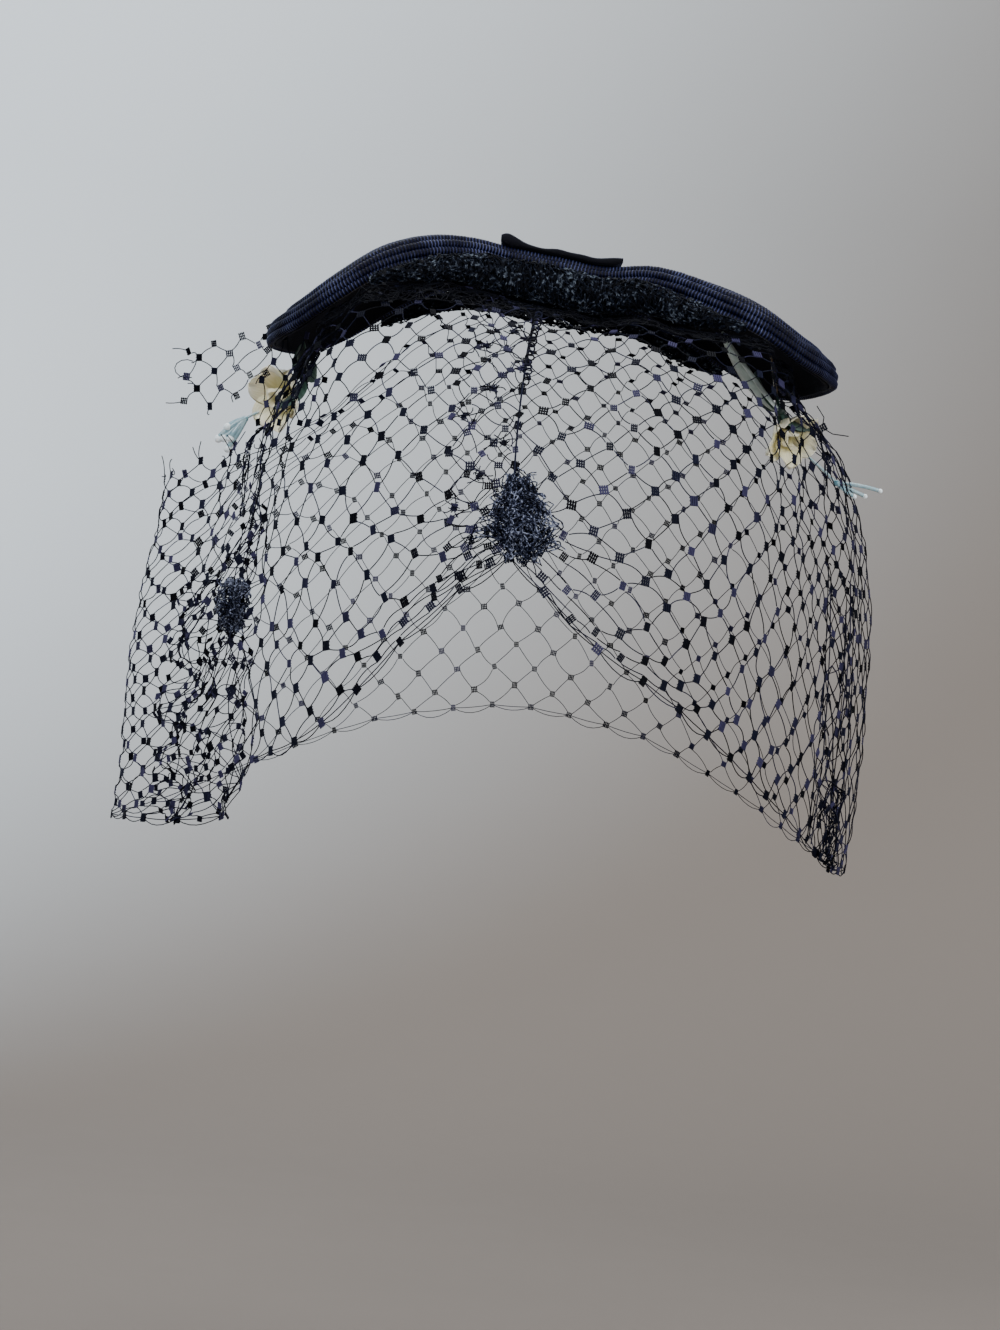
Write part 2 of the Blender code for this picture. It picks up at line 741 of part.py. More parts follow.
def make_spray(row, flower, finish):
    """Thin stems with round heads, spread from one binding and wired to their flower."""
    start = Vector((row.x, row.y, row.z))
    lean = leaning(row.tilt, row.turn)
    back = (Vector((flower.x, flower.y, flower.z)) - start).normalized()
    parts = [ball(row.side + "_stamens", 1.3, start, finish)]
    parts.append(rod("wire", start, start + back * row.wire, WIRE_RADIUS, finish))
    for k in range(PIPS):
        spread = math.radians(26.0 * (2 * k / (PIPS - 1) - 1))
        sway = math.radians(8.0 * math.sin(2.3 * k))
        length = row.length * (0.75 + 0.25 * math.cos(1.7 * k))
        way = lean @ Vector((math.sin(sway), math.sin(spread), math.cos(spread)))
        end = start + way.normalized() * length
        parts.append(rod("stem", start, end, PIP_STEM_RADIUS, finish))
        parts.append(ball("head", PIP_HEAD_RADIUS, end, finish, 4, 6))
    return fused(parts)


# ---------------------------------------------------------------- the whole part


def seat_everything():
    """Parents every piece to one empty at the seat, where a head holds the part."""
    pieces = list(bpy.context.scene.collection.objects)
    seat = bpy.data.objects.new("head_seat", None)
    bpy.context.scene.collection.objects.link(seat)
    for piece in pieces:
        piece.parent = seat


def main():
    clear_scene()
    cord = material("navy_cord", (0.010, 0.014, 0.055), 0.45)
    velvet = material("navy_velvet", (0.004, 0.004, 0.009), 0.95)
    net = material("veil_net", (0.012, 0.012, 0.030), 0.70)
    petal = material("petals", (0.74, 0.66, 0.40), 0.40)
    leaf = material("leaves", (0.03, 0.12, 0.07), 0.50)
    pip = material("stamens", (0.45, 0.74, 0.80), 0.25)
    make_wing("left_wing", -1, cord)
    make_wing("right_wing", 1, cord)
    make_lining("left_lining", -1, velvet)
    make_lining("right_lining", 1, velvet)
    make_knot(velvet)
    make_gather("back_gather", -1, net)
    make_gather("front_gather", 1, net)
    side = SIDE_AZIMUTH
    make_veil_panel("veil_back_left", -side, SEAM_AZIMUTH, 4, 3, False, net)
    make_veil_panel("veil_back_right", SEAM_AZIMUTH, side, 4, 3, False, net)
    make_veil_panel("veil_front", side, 360.0 - side, 8, 3, True, net)
    make_flap(net)
    for row in LUMP_ROWS:
        make_lump(row, net)
    for flower, spray in zip(FLOWER_ROWS, SPRAY_ROWS):
        make_blossom(flower, petal)
        make_leaves(flower, leaf)
        make_spray(spray, flower, pip)
    seat_everything()


main()
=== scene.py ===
"""Dresses the veiled half hat: gimp cord rows, velvet, block net and small flowers.

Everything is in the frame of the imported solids. The forms repeat the sizes that the
solids were made from, in millimetres, and MM turns them into metres.
"""

import logging
import math
from collections.abc import Callable, Iterator, Sequence
from dataclasses import dataclass, field
from enum import Enum
from functools import partial

import bmesh
import bpy
import numpy as np
from bpy.types import ID, Material, Node, NodeSocket, NodeTree, Object
from mathutils import Euler, Matrix, Quaternion, Vector, noise


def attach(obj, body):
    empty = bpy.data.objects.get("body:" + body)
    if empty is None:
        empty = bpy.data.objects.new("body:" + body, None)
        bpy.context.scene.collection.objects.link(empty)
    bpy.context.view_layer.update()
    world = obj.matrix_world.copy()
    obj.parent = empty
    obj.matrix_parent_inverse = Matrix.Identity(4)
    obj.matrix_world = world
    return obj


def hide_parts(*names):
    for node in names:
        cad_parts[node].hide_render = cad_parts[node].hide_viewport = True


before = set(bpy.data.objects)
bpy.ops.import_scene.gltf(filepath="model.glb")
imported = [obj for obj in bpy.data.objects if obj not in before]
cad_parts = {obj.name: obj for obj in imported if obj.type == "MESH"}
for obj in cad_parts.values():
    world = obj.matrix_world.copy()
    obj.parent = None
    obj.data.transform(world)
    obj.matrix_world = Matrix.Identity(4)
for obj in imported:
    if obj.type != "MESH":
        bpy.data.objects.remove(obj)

LOG = logging.getLogger("half_hat")
MM = 0.001
Place = Callable[[float, float], Vector]


class Named(Enum):
    """A choice whose name is part of the nodes' names."""

    @property
    def word(self) -> str:
        """The name, as the nodes spell it."""
        return self.name.lower()


class Side(Named):
    """The two halves of the bow, by the direction that each lies in along X."""

    LEFT = -1
    RIGHT = 1


class Facing(Named):
    """The two long edges of the bow, by the direction that each faces along Y."""

    BACK = -1
    FRONT = 1


# ---- small tools


def eased(t: float) -> float:
    """A smooth step from 0 to 1."""
    t = min(max(t, 0.0), 1.0)
    return t * t * (3 - 2 * t)


def blend(a: float, b: float, share: float) -> float:
    """The value a share of the way from a to b."""
    return a + (b - a) * share


def between(x: float, first: float, last: float, rise: float, fall: float) -> float:
    """1 between first and last, eased to 0 over the rise and the fall inside them."""
    return eased((x - first) / rise) * eased((last - x) / fall)


def curved(start: Vector, end: Vector, bow: Vector, steps: int = 10) -> list[Vector]:
    """Returns points from start to end that bow out at the middle."""
    shares = [k / steps for k in range(steps + 1)]
    return [start.lerp(end, s) + bow * (4 * s * (1 - s)) for s in shares]


class Table:
    """Short rows of named columns, read on a smooth curve between the rows."""

    def __init__(self, names: str, rows: Sequence[Sequence[float]]) -> None:
        """Args: names of the columns, and the rows, sorted by the first column."""
        data = np.array(rows, float)
        self.keys = data[:, 0]
        self.columns = dict(zip(names.split(), data.T))
        self.slopes = {n: np.gradient(c, self.keys) for n, c in self.columns.items()}

    def at(self, key: float, name: str) -> float:
        """Returns the named column's value where the first column is key.

        Args:
            key: a place in the first column.
            name: the column to read.

        Returns:
            The value there, eased between the rows.
        """
        keys, values, slopes = self.keys, self.columns[name], self.slopes[name]
        key = min(max(key, keys[0]), keys[-1])
        k = min(max(int(np.searchsorted(keys, key)) - 1, 0), len(keys) - 2)
        width = keys[k + 1] - keys[k]
        t = (key - keys[k]) / width
        start = (1 + 2 * t) * (1 - t) ** 2 * values[k]
        start += t * (1 - t) ** 2 * width * slopes[k]
        end = t * t * (3 - 2 * t) * values[k + 1]
        end += t * t * (t - 1) * width * slopes[k + 1]
        return float(start + end)


class Dice:
    """Seeded random numbers, the same in every run."""

    def __init__(self, seed: int) -> None:
        """Args: seed picks the sequence."""
        self.source = np.random.default_rng(seed)

    def spread(self, reach: float) -> float:
        """Returns a number between -reach and reach."""
        return float(self.source.uniform(-reach, reach))

    def share(self) -> float:
        """Returns a number between 0 and 1."""
        return float(self.source.uniform(0.0, 1.0))

    def offset(self, reach: float) -> Vector:
        """Returns a vector whose three parts are each between -reach and reach."""
        return Vector(self.source.uniform(-reach, reach, 3))


# ---- node trees


class Nodes:
    """Adds nodes to a tree, with their settings, values and links in one call."""

    def __init__(self, tree: NodeTree) -> None:
        """Args: tree is the node tree that the nodes go into."""
        self.tree = tree

    def add(self, kind: str, settings: dict | None = None, sockets: dict | None = None) -> Node:
        """Adds a node.

        Args:
            kind: the node's type.
            settings: attributes of the node.
            sockets: inputs by name or index. Each value is a plain value, an output
                socket, a Value, or a node, which stands for its first output.

        Returns:
            The new node.
        """
        node = self.tree.nodes.new(kind)
        for name, value in (settings or {}).items():
            setattr(node, name, value)
        for name, value in (sockets or {}).items():
            self.feed(node.inputs[name], value)
        return node

    def maths(self, operation: str, *operands: object) -> NodeSocket:
        """Returns the result of a Math node on the operands."""
        sockets = dict(enumerate(operands))
        return self.add("ShaderNodeMath", {"operation": operation}, sockets).outputs[0]

    def vector(self, x: object, y: object, z: object) -> NodeSocket:
        """Returns a vector made of three numbers in a geometry tree."""
        return self.add("ShaderNodeCombineXYZ", None, {0: x, 1: y, 2: z}).outputs[0]

    def named(self, name: str, kind: str = "FLOAT") -> NodeSocket:
        """Returns an attribute of the mesh, of a data type, inside a geometry tree."""
        node = self.add("GeometryNodeInputNamedAttribute", {"data_type": kind}, {"Name": name})
        return node.outputs["Attribute"]

    def together(self, *parts: object) -> Node:
        """Returns the node that joins geometries into one.

        Args:
            *parts: the geometries.

        Returns:
            The node.
        """
        node = self.add("GeometryNodeJoinGeometry")
        for part in parts:
            self.feed(node.inputs[0], part)
        return node

    def tubes(self, curve: object, sides: object, radius: object, scale: object) -> object:
        """Returns the node that sweeps smooth tubes with closed ends along curves.

        Args:
            curve: the curves.
            sides: how many sides a tube has.
            radius: its radius.
            scale: what the radius is multiplied by along the way.

        Returns:
            The node.
        """
        sockets = {"Resolution": sides, "Radius": radius}
        ring = self.add("GeometryNodeCurvePrimitiveCircle", None, sockets)
        sockets = {"Curve": curve, "Profile Curve": ring, "Scale": scale, "Fill Caps": True}
        swept = self.add("GeometryNodeCurveToMesh", None, sockets)
        return self.add("GeometryNodeSetShadeSmooth", None, {"Geometry": swept})

    def feed(self, socket: NodeSocket, value: object) -> None:
        """Links or sets one input.

        Args:
            socket: the input.
            value: a socket, a Value, a node or a plain value.
        """
        if isinstance(value, Value):
            value = value.socket
        if isinstance(value, Node):
            value = value.outputs[0]
        if isinstance(value, NodeSocket):
            self.tree.links.new(value, socket)
        else:
            socket.default_value = value


class Value:
    """A number socket of a shader tree that takes plain arithmetic."""

    def __init__(self, nodes: Nodes, socket: NodeSocket) -> None:
        """Args: nodes holds the tree, and socket is the output that this stands for."""
        self.nodes = nodes
        self.socket = socket

    def math(self, operation: str, *operands: object) -> "Value":
        """Returns the result of a Math node on the operands, which may hold this one."""
        return Value(self.nodes, self.nodes.maths(operation, *operands))

    def __add__(self, other: object) -> "Value":
        """Returns the sum."""
        return self.math("ADD", self, other)

    def __radd__(self, other: float) -> "Value":
        """Returns the sum, with a plain number first."""
        return self.math("ADD", other, self)

    def __sub__(self, other: object) -> "Value":
        """Returns the difference."""
        return self.math("SUBTRACT", self, other)

    def __rsub__(self, other: float) -> "Value":
        """Returns a plain number less this value."""
        return self.math("SUBTRACT", other, self)

    def __mul__(self, other: object) -> "Value":
        """Returns the product."""
        return self.math("MULTIPLY", self, other)

    def __rmul__(self, other: float) -> "Value":
        """Returns the product, with a plain number first."""
        return self.math("MULTIPLY", other, self)

    def __pow__(self, other: object) -> "Value":
        """Returns the power."""
        return self.math("POWER", self, other)

    def __rpow__(self, other: float) -> "Value":
        """Returns a plain number to the power of this value."""
        return self.math("POWER", other, self)

    def __abs__(self) -> "Value":
        """Returns the value without its sign."""
        return self.math("ABSOLUTE", self)

    def wave(self) -> "Value":
        """Returns a sine of this value in radians, lifted to run from 0 to 1."""
        return self.math("SINE", self) * 0.5 + 0.5

    def clamped(self) -> "Value":
        """Returns the value kept between 0 and 1."""
        return self.math("MINIMUM", self.math("MAXIMUM", self, 0.0), 1.0)


Colour = tuple[float, float, float]


class Surface:
    """A material being made: a Principled shader and short ways to feed it."""

    def __init__(self, name: str, **constants: float | Colour) -> None:
        """Args: name of the material; constants are the shader's plain values.

        A constant's name is the socket's, in small letters with underscores.
        """
        self.material = bpy.data.materials.new(name)
        self.material.use_nodes = True
        self.nodes = Nodes(self.material.node_tree)
        self.shader = self.material.node_tree.nodes["Principled BSDF"]
        for key, value in constants.items():
            socket = self.shader.inputs[key.replace("_", " ").title().replace("Ior", "IOR")]
            is_colour = isinstance(value, tuple)
            socket.default_value = (*value, 1.0) if is_colour else value

    def attribute(self, name: str) -> Value:
        """Returns a number stored on the mesh."""
        node = self.nodes.add("ShaderNodeAttribute", {"attribute_name": name})
        return Value(self.nodes, node.outputs["Fac"])

    def place(self) -> NodeSocket:
        """Returns the object's own coordinates, in metres."""
        return self.nodes.add("ShaderNodeTexCoord").outputs["Object"]

    def axis(self, name: str) -> Value:
        """Returns one of the object's own coordinates: X, Y or Z."""
        split = self.nodes.add("ShaderNodeSeparateXYZ", None, {0: self.place()})
        return Value(self.nodes, split.outputs[name])

    def grain(self, scale: float, detail: float = 3.0) -> Value:
        """Returns noise from 0 to 1, with scale in turns per metre and detail in octaves."""
        sockets = {"Vector": self.place(), "Scale": scale, "Detail": detail}
        return Value(self.nodes, self.nodes.add("ShaderNodeTexNoise", None, sockets).outputs[0])

    def colour(
        self, share: Value, stops: Sequence[tuple[float, Colour]], way: str = "LINEAR"
    ) -> None:
        """Paints the base colour along a ramp of (position, colour) stops.

        Args:
            share: the place on the ramp.
            stops: positions and colours.
            way: how the ramp is eased.
        """
        ramp = self.nodes.add("ShaderNodeValToRGB", None, {"Fac": share})
        ramp.color_ramp.interpolation = way
        marks = ramp.color_ramp.elements
        while len(marks) < len(stops):
            marks.new(0.5)
        for mark, (position, paint) in zip(marks, stops):
            mark.position = position
            mark.color = (*paint, 1.0)
        self.nodes.feed(self.shader.inputs["Base Color"], ramp.outputs["Color"])

    def roughness(self, value: Value) -> None:
        """Feeds the roughness."""
        self.nodes.feed(self.shader.inputs["Roughness"], value.clamped())

    def bump(self, height: Value, depth_mm: float, strength: float = 1.0) -> None:
        """Raises the surface by a height of 0 to 1 times depth_mm.

        Args:
            height: 0 to 1 over the surface.
            depth_mm: the height of 1.
            strength: the share of it that shows.
        """
        sockets = {"Height": height, "Distance": depth_mm * MM, "Strength": strength}
        node = self.nodes.add("ShaderNodeBump", None, sockets)
        self.nodes.feed(self.shader.inputs["Normal"], node.outputs["Normal"])


# ---- finishes


@dataclass(frozen=True)
class GimpFinish:
    """Rayon gimp: a core wrapped round and round with shiny navy thread, painted light on each
    wrap's crest as a painted highlight and dark between the wraps as painted shade.
    """

    # dark is painted shade for the gaps between the wraps, and light is a painted highlight for
    # their crests.
    dark: Colour = (0.0003, 0.0005, 0.0028)
    middle: Colour = (0.0020, 0.0031, 0.0210)
    light: Colour = (0.0620, 0.0750, 0.1750)

    def build(self) -> Material:
        """Returns the material; it reads wrap, the count of wraps, from the mesh.

        Returns:
            The material.
        """
        made = Surface("gimp", specular_ior_level=0.09)
        ridge = (made.attribute("wrap") * math.tau - math.pi / 2).wave()
        # This noise makes the painted highlight on the wraps' crests patchy.
        varied = made.grain(140.0) * 1.5 + made.grain(1400.0) * 0.7 - 0.8
        made.colour(
            (ridge**1.8 * (varied + 0.36)).clamped(),
            ((0.0, self.dark), (0.45, self.middle), (1.0, self.light)),
        )
        made.roughness(0.50 - ridge * 0.14 + made.grain(900.0) * 0.12)
        made.bump(ridge + made.grain(5000.0, 2.0) * 0.5, 0.16, 0.9)
        return made.material


@dataclass(frozen=True)
class VelvetFinish:
    """Short pile that is nearly black, with a little light on its edges."""

    dark: Colour = (0.0008, 0.0009, 0.0018)
    light: Colour = (0.0040, 0.0042, 0.0085)
    edge: Colour = (0.10, 0.12, 0.22)

    def build(self) -> Material:
        """Returns the material.

        Returns:
            The material.
        """
        sheen = {"sheen_weight": 0.22, "sheen_roughness": 0.35, "sheen_tint": self.edge}
        made = Surface("velvet", specular_ior_level=0.12, **sheen)
        crush = made.grain(90.0) * 0.6 + made.grain(2600.0) * 0.4
        made.colour(crush, ((0.3, self.dark), (0.75, self.light)))
        made.roughness(0.86 + made.grain(300.0) * 0.12)
        made.bump(made.grain(3200.0, 2.0), 0.22, 0.7)
        return made.material


@dataclass(frozen=True)
class NetFinish:
    """Fine navy thread whose blocks differ a little in tint and wear."""

    black: Colour = (0.0012, 0.0016, 0.0036)
    navy: Colour = (0.0065, 0.0080, 0.0200)
    violet: Colour = (0.0400, 0.0370, 0.0900)

    def build(self) -> Material:
        """Returns the material; it reads tint from the mesh.

        Returns:
            The material.
        """
        made = Surface("block_net", specular_ior_level=0.05)
        share = made.attribute("tint") * 0.95 + made.grain(260.0) * 0.35 - 0.15
        made.colour(share.clamped(), ((0.15, self.black), (0.6, self.navy), (1.0, self.violet)))
        made.roughness(0.55 + made.grain(1500.0) * 0.2)
        made.bump(made.grain(5200.0, 2.0), 0.06, 0.6)
        return made.material


@dataclass(frozen=True)
class TangleFinish:
    """Crumpled net and its stitches: nearly black, with pale blue and teal glints."""

    name: str
    dark: Colour
    navy: Colour
    glint: Colour
    glints: float
    fine: float

    def build(self) -> Material:
        """Returns the material; it reads tint from the mesh.

        Returns:
            The material.
        """
        made = Surface(self.name, specular_ior_level=0.06)
        crumbs = (made.grain(self.fine, 2.0) - 0.5) * 2.6 + (made.grain(150.0) - 0.5) * 1.2
        share = crumbs + made.attribute("tint") * 0.3 + self.glints
        made.colour(share.clamped(), ((0.25, self.dark), (0.6, self.navy), (1.0, self.glint)))
        made.roughness(0.45 + made.grain(1500.0) * 0.25)
        made.bump(made.grain(4200.0, 2.0), 0.08, 0.6)
        return made.material


CRUSHED_NET = TangleFinish(
    "crushed_net",
    (0.0005, 0.0010, 0.0026), (0.0060, 0.0090, 0.0190), (0.092, 0.114, 0.146),
    0.27,
    1050.0,
)
PINCHED_NET = TangleFinish(
    "pinched_net",
    (0.0012, 0.0018, 0.0050), (0.0160, 0.0205, 0.0460), (0.230, 0.260, 0.360),
    0.44,
    1400.0,
)


@dataclass(frozen=True)
class PetalFinish:
    """Stiffened cloth petals: cream and waxy. Painted shade darkens them to the heart's brown at
    their roots, and painted light makes them paler at their tips.
    """

    heart: Colour = (0.080, 0.055, 0.020)
    cream: Colour = (0.80, 0.73, 0.38)
    pale: Colour = (0.97, 0.94, 0.73)

    def build(self) -> Material:
        """Returns the material; it reads along and across from the mesh.

        Returns:
            The material.
        """
        made = Surface("petal", coat_weight=0.55, coat_roughness=0.16, subsurface_weight=0.1)
        along = made.attribute("along")
        vein = (made.attribute("across") * 34.0 + made.grain(160.0) * 5.0).wave()
        # Painted shade and light along each petal: darker towards the root, in the cup, and paler
        # towards the tip.
        share = along * 0.85 + made.grain(220.0) * 0.35 - vein * 0.10 - 0.08
        made.colour(share.clamped(), ((0.0, self.heart), (0.28, self.cream), (0.85, self.pale)))
        made.roughness(0.34 + made.grain(600.0) * 0.2)
        made.bump(vein, 0.10, 0.5)
        return made.material


@dataclass(frozen=True)
class LeafFinish:
    """Stiffened cloth leaves with a midrib: one dark green, or one pale mint."""

    name: str
    deep: Colour
    green: Colour
    edge: Colour

    def build(self) -> Material:
        """Returns the material; it reads along and across from the mesh.

        Returns:
            The material.
        """
        made = Surface(self.name, specular_ior_level=0.55, sheen_weight=0.1)
        across = abs(made.attribute("across"))
        vein = (across * 9.0 - made.attribute("along") * 42.0).wave()
        share = across * 0.45 + made.grain(350.0) * 0.5 + vein * 0.12 - 0.1
        made.colour(share.clamped(), ((0.1, self.deep), (0.5, self.green), (0.95, self.edge)))
        made.roughness(0.36 + made.grain(800.0) * 0.25)
        made.bump(vein * 0.5 + (across * 3.0).clamped(), 0.12, 0.6)
        return made.material


DARK_LEAF = LeafFinish(
    "dark_leaf", (0.002, 0.010, 0.009), (0.006, 0.030, 0.023), (0.060, 0.15, 0.11)
)
MINT_LEAF = LeafFinish("mint_leaf", (0.22, 0.31, 0.30), (0.60, 0.72, 0.70), (0.88, 0.95, 0.95))


@dataclass(frozen=True)
class StamenFinish:
    """Glossy dipped thread, pale blue, turning white at the tips."""

    stem: Colour = (0.035, 0.21, 0.28)
    tip: Colour = (0.84, 0.93, 0.97)

    def build(self) -> Material:
        """Returns the material; it reads along from the mesh.

        Returns:
            The material.
        """
        made = Surface("stamen", coat_weight=0.6, coat_roughness=0.12, subsurface_weight=0.1)
        share = made.attribute("along") + made.grain(900.0) * 0.3 - 0.15
        made.colour(share.clamped(), ((0.1, self.stem), (0.9, self.tip)))
        made.roughness(0.18 + made.grain(700.0) * 0.15)
        return made.material


@dataclass(frozen=True)
class FloorFinish:
    """A plain pale sweep, painted cooler and lighter towards its upper left and darker and warmer
    towards its lower right: painted light and shade.
    """

    low: Colour = (0.160, 0.142, 0.127)
    high: Colour = (0.750, 0.830, 0.900)

    def build(self) -> Material:
        """Returns the material.

        Returns:
            The material.
        """
        made = Surface("sweep", specular_ior_level=0.2)
        # Painted light and shade: lighter higher up, further back and further left.
        rise = made.axis("Z") * 0.40 + made.axis("Y") * 1.20
        share = rise - made.axis("X") * 1.05 + made.grain(3.0) * 0.04 - 0.51
        made.colour(share.clamped(), ((0.0, self.low), (1.0, self.high)), "EASE")
        made.roughness(0.75 + made.grain(40.0) * 0.1)
        return made.material


# ---- the forms


def wrapped(azimuth: float) -> float:
    """The azimuth brought to between -180 and 180."""
    return (azimuth + 180.0) % 360.0 - 180.0


def outward(azimuth: float) -> Vector:
    """The level way out at an azimuth, which runs from the middle back towards +X."""
    angle = math.radians(azimuth)
    return Vector((math.sin(angle), -math.cos(angle), 0.0))


@dataclass(frozen=True)
class HatForm:
    """The bow's form, with the same sizes as the solids, in millimetres."""

    spine_y: float = -1.0
    knot_half_depth: float = 20.0
    wing_half_depth: float = 34.0
    pinch_end_x: float = 10.0
    widest_x: float = 51.0
    tip_x: float = 78.5
    spine_end_x: float = 46.0
    edge_drop: float = 5.0
    cord_radius: float = 1.05
    top_inset: float = 3.7
    start_x: float = 0.2
    rim_bottom: float = 6.85
    rows: Table = Table(
        "x crown front_dip",
        (
            (-78.5, -11.0, 3.0), (-70.5, -5.8, 3.0), (-60.5, 2.6, 3.0),
            (-48.3, 11.3, 2.2), (-36.0, 15.2, 1.2), (-24.0, 15.4, 0.5),
            (-12.0, 13.1, 0.0), (0.0, 11.6, 0.0), (12.0, 10.1, 0.0), (24.0, 11.4, 1.0),
            (40.5, 8.4, 3.0), (56.0, 2.8, 5.0), (67.0, -4.3, 6.5), (78.5, -11.0, 6.5),
        ),
    )

    def crown_height(self, x: float, y: float) -> float:
        """Returns the height of the dished top at a place in plan.

        Args:
            x: across the hat.
            y: from back to front.

        Returns:
            The height, in millimetres.
        """
        depth = (y - self.spine_y) / self.wing_half_depth
        drop = self.edge_drop
        if depth > 0:
            drop += self.rows.at(x, "front_dip")
        return self.rows.at(x, "crown") - drop * depth * depth

    def half_depth(self, x: float) -> float:
        """Returns half the bow's depth between the knot and the widest place."""
        share = eased((x - self.pinch_end_x) / (self.widest_x - self.pinch_end_x))
        return blend(self.knot_half_depth, self.wing_half_depth, share)

    def rim_station(self, x: float, facing: Facing) -> tuple[Vector, Vector]:
        """Returns the rim's edge point and the outward way, in plan, at x.

        Args:
            x: across the hat.
            facing: the back or the front edge.

        Returns:
            The edge point and the outward way.
        """
        width, front = abs(x), facing.value
        if width <= self.widest_x:
            depth = self.half_depth(width)
            slope = (self.half_depth(width + 0.1) - self.half_depth(width - 0.1)) / 0.2
            out = Vector((-slope * math.copysign(1.0, x), front)).normalized()
        else:
            tip = self.tip_x - self.widest_x
            share = min((width - self.widest_x) / tip, 1.0)
            along = math.sqrt(1 - share * share)
            depth = self.wing_half_depth * along
            across = math.copysign(share / tip, x)
            out = Vector((across, front * along / self.wing_half_depth)).normalized()
        return Vector((x, self.spine_y + front * depth)), out

    def stations(self, side: Side, straight: int, tip: int) -> list["Station"]:
        """Returns stations round a wing, from the knot's back edge to its front edge.

        Args:
            side: the wing.
            straight: steps along each edge.
            tip: steps round the tip.

        Returns:
            The stations, in order.
        """
        places = []
        span = self.spine_end_x - self.start_x
        for k in range(straight + 1):
            x = blend(self.start_x, self.widest_x, k / straight)
            spine = self.start_x + span * k / straight
            places.append((x, self.spine_y - self.half_depth(x), spine))
        for k in range(1, tip):
            turn = math.radians(blend(-90.0, 90.0, k / tip))
            x = self.widest_x + (self.tip_x - self.widest_x) * math.cos(turn)
            y = self.spine_y + self.wing_half_depth * math.sin(turn)
            places.append((x, y, self.spine_end_x))
        for x, y, spine in reversed(places[: straight + 1]):
            places.append((x, 2 * self.spine_y - y, spine))
        made = []
        last = len(places) - 1
        for k, (x, y, spine) in enumerate(places):
            before, after = places[max(k - 1, 0)], places[min(k + 1, last)]
            out = Vector((after[1] - before[1], before[0] - after[0])).normalized()
            if k in (0, last):
                out = Vector((0.0, -1.0 if k == 0 else 1.0))
            flip = side.value
            inner = Vector((flip * spine, self.spine_y))
            made.append(Station(Vector((flip * x, y)), inner, Vector((flip * out.x, out.y))))
        return made

    def row_point(self, station: "Station", share: float, lift: float) -> Vector:
        """Returns a point above the top, a share of the way from the spine to the edge."""
        place = station.spine.lerp(station.edge - station.out * self.top_inset, share)
        return Vector((*place, self.crown_height(*place) + lift))

    def rim_point(self, station: "Station", out: float, down: float) -> Vector:
        """Returns a point of the rim, out from its edge and down from it."""
        place = station.edge + station.out * out
        return Vector((*place, self.crown_height(*station.edge) - down))


@dataclass(frozen=True)
class Station:
    """A place on a wing's outline: its edge, the spine point inside it, and outward."""

    edge: Vector
    spine: Vector
    out: Vector


HAT = HatForm()
GATHER_ROWS = Table(
    "x lift height",
    (
        (-50.0, 0.6, 2.2), (-40.0, 1.2, 5.2), (-20.0, 3.4, 9.6), (0.0, 4.8, 11.2),
        (20.0, 3.4, 9.6), (40.0, 1.2, 6.4), (50.0, 0.6, 2.2),
    ),
)
GATHER_END = 50.0
GATHER_FADE = 8.0


@dataclass(frozen=True)
class Pinch:
    """A place where the net is drawn together towards a point."""

    centre: Vector
    reach: float
    pull: float

    def draw_in(self, point: Vector) -> Vector:
        """Returns the point moved towards the centre, most where it is near."""
        away = point - self.centre
        return point - away * (self.pull * math.exp(-((away.length / self.reach) ** 2)))


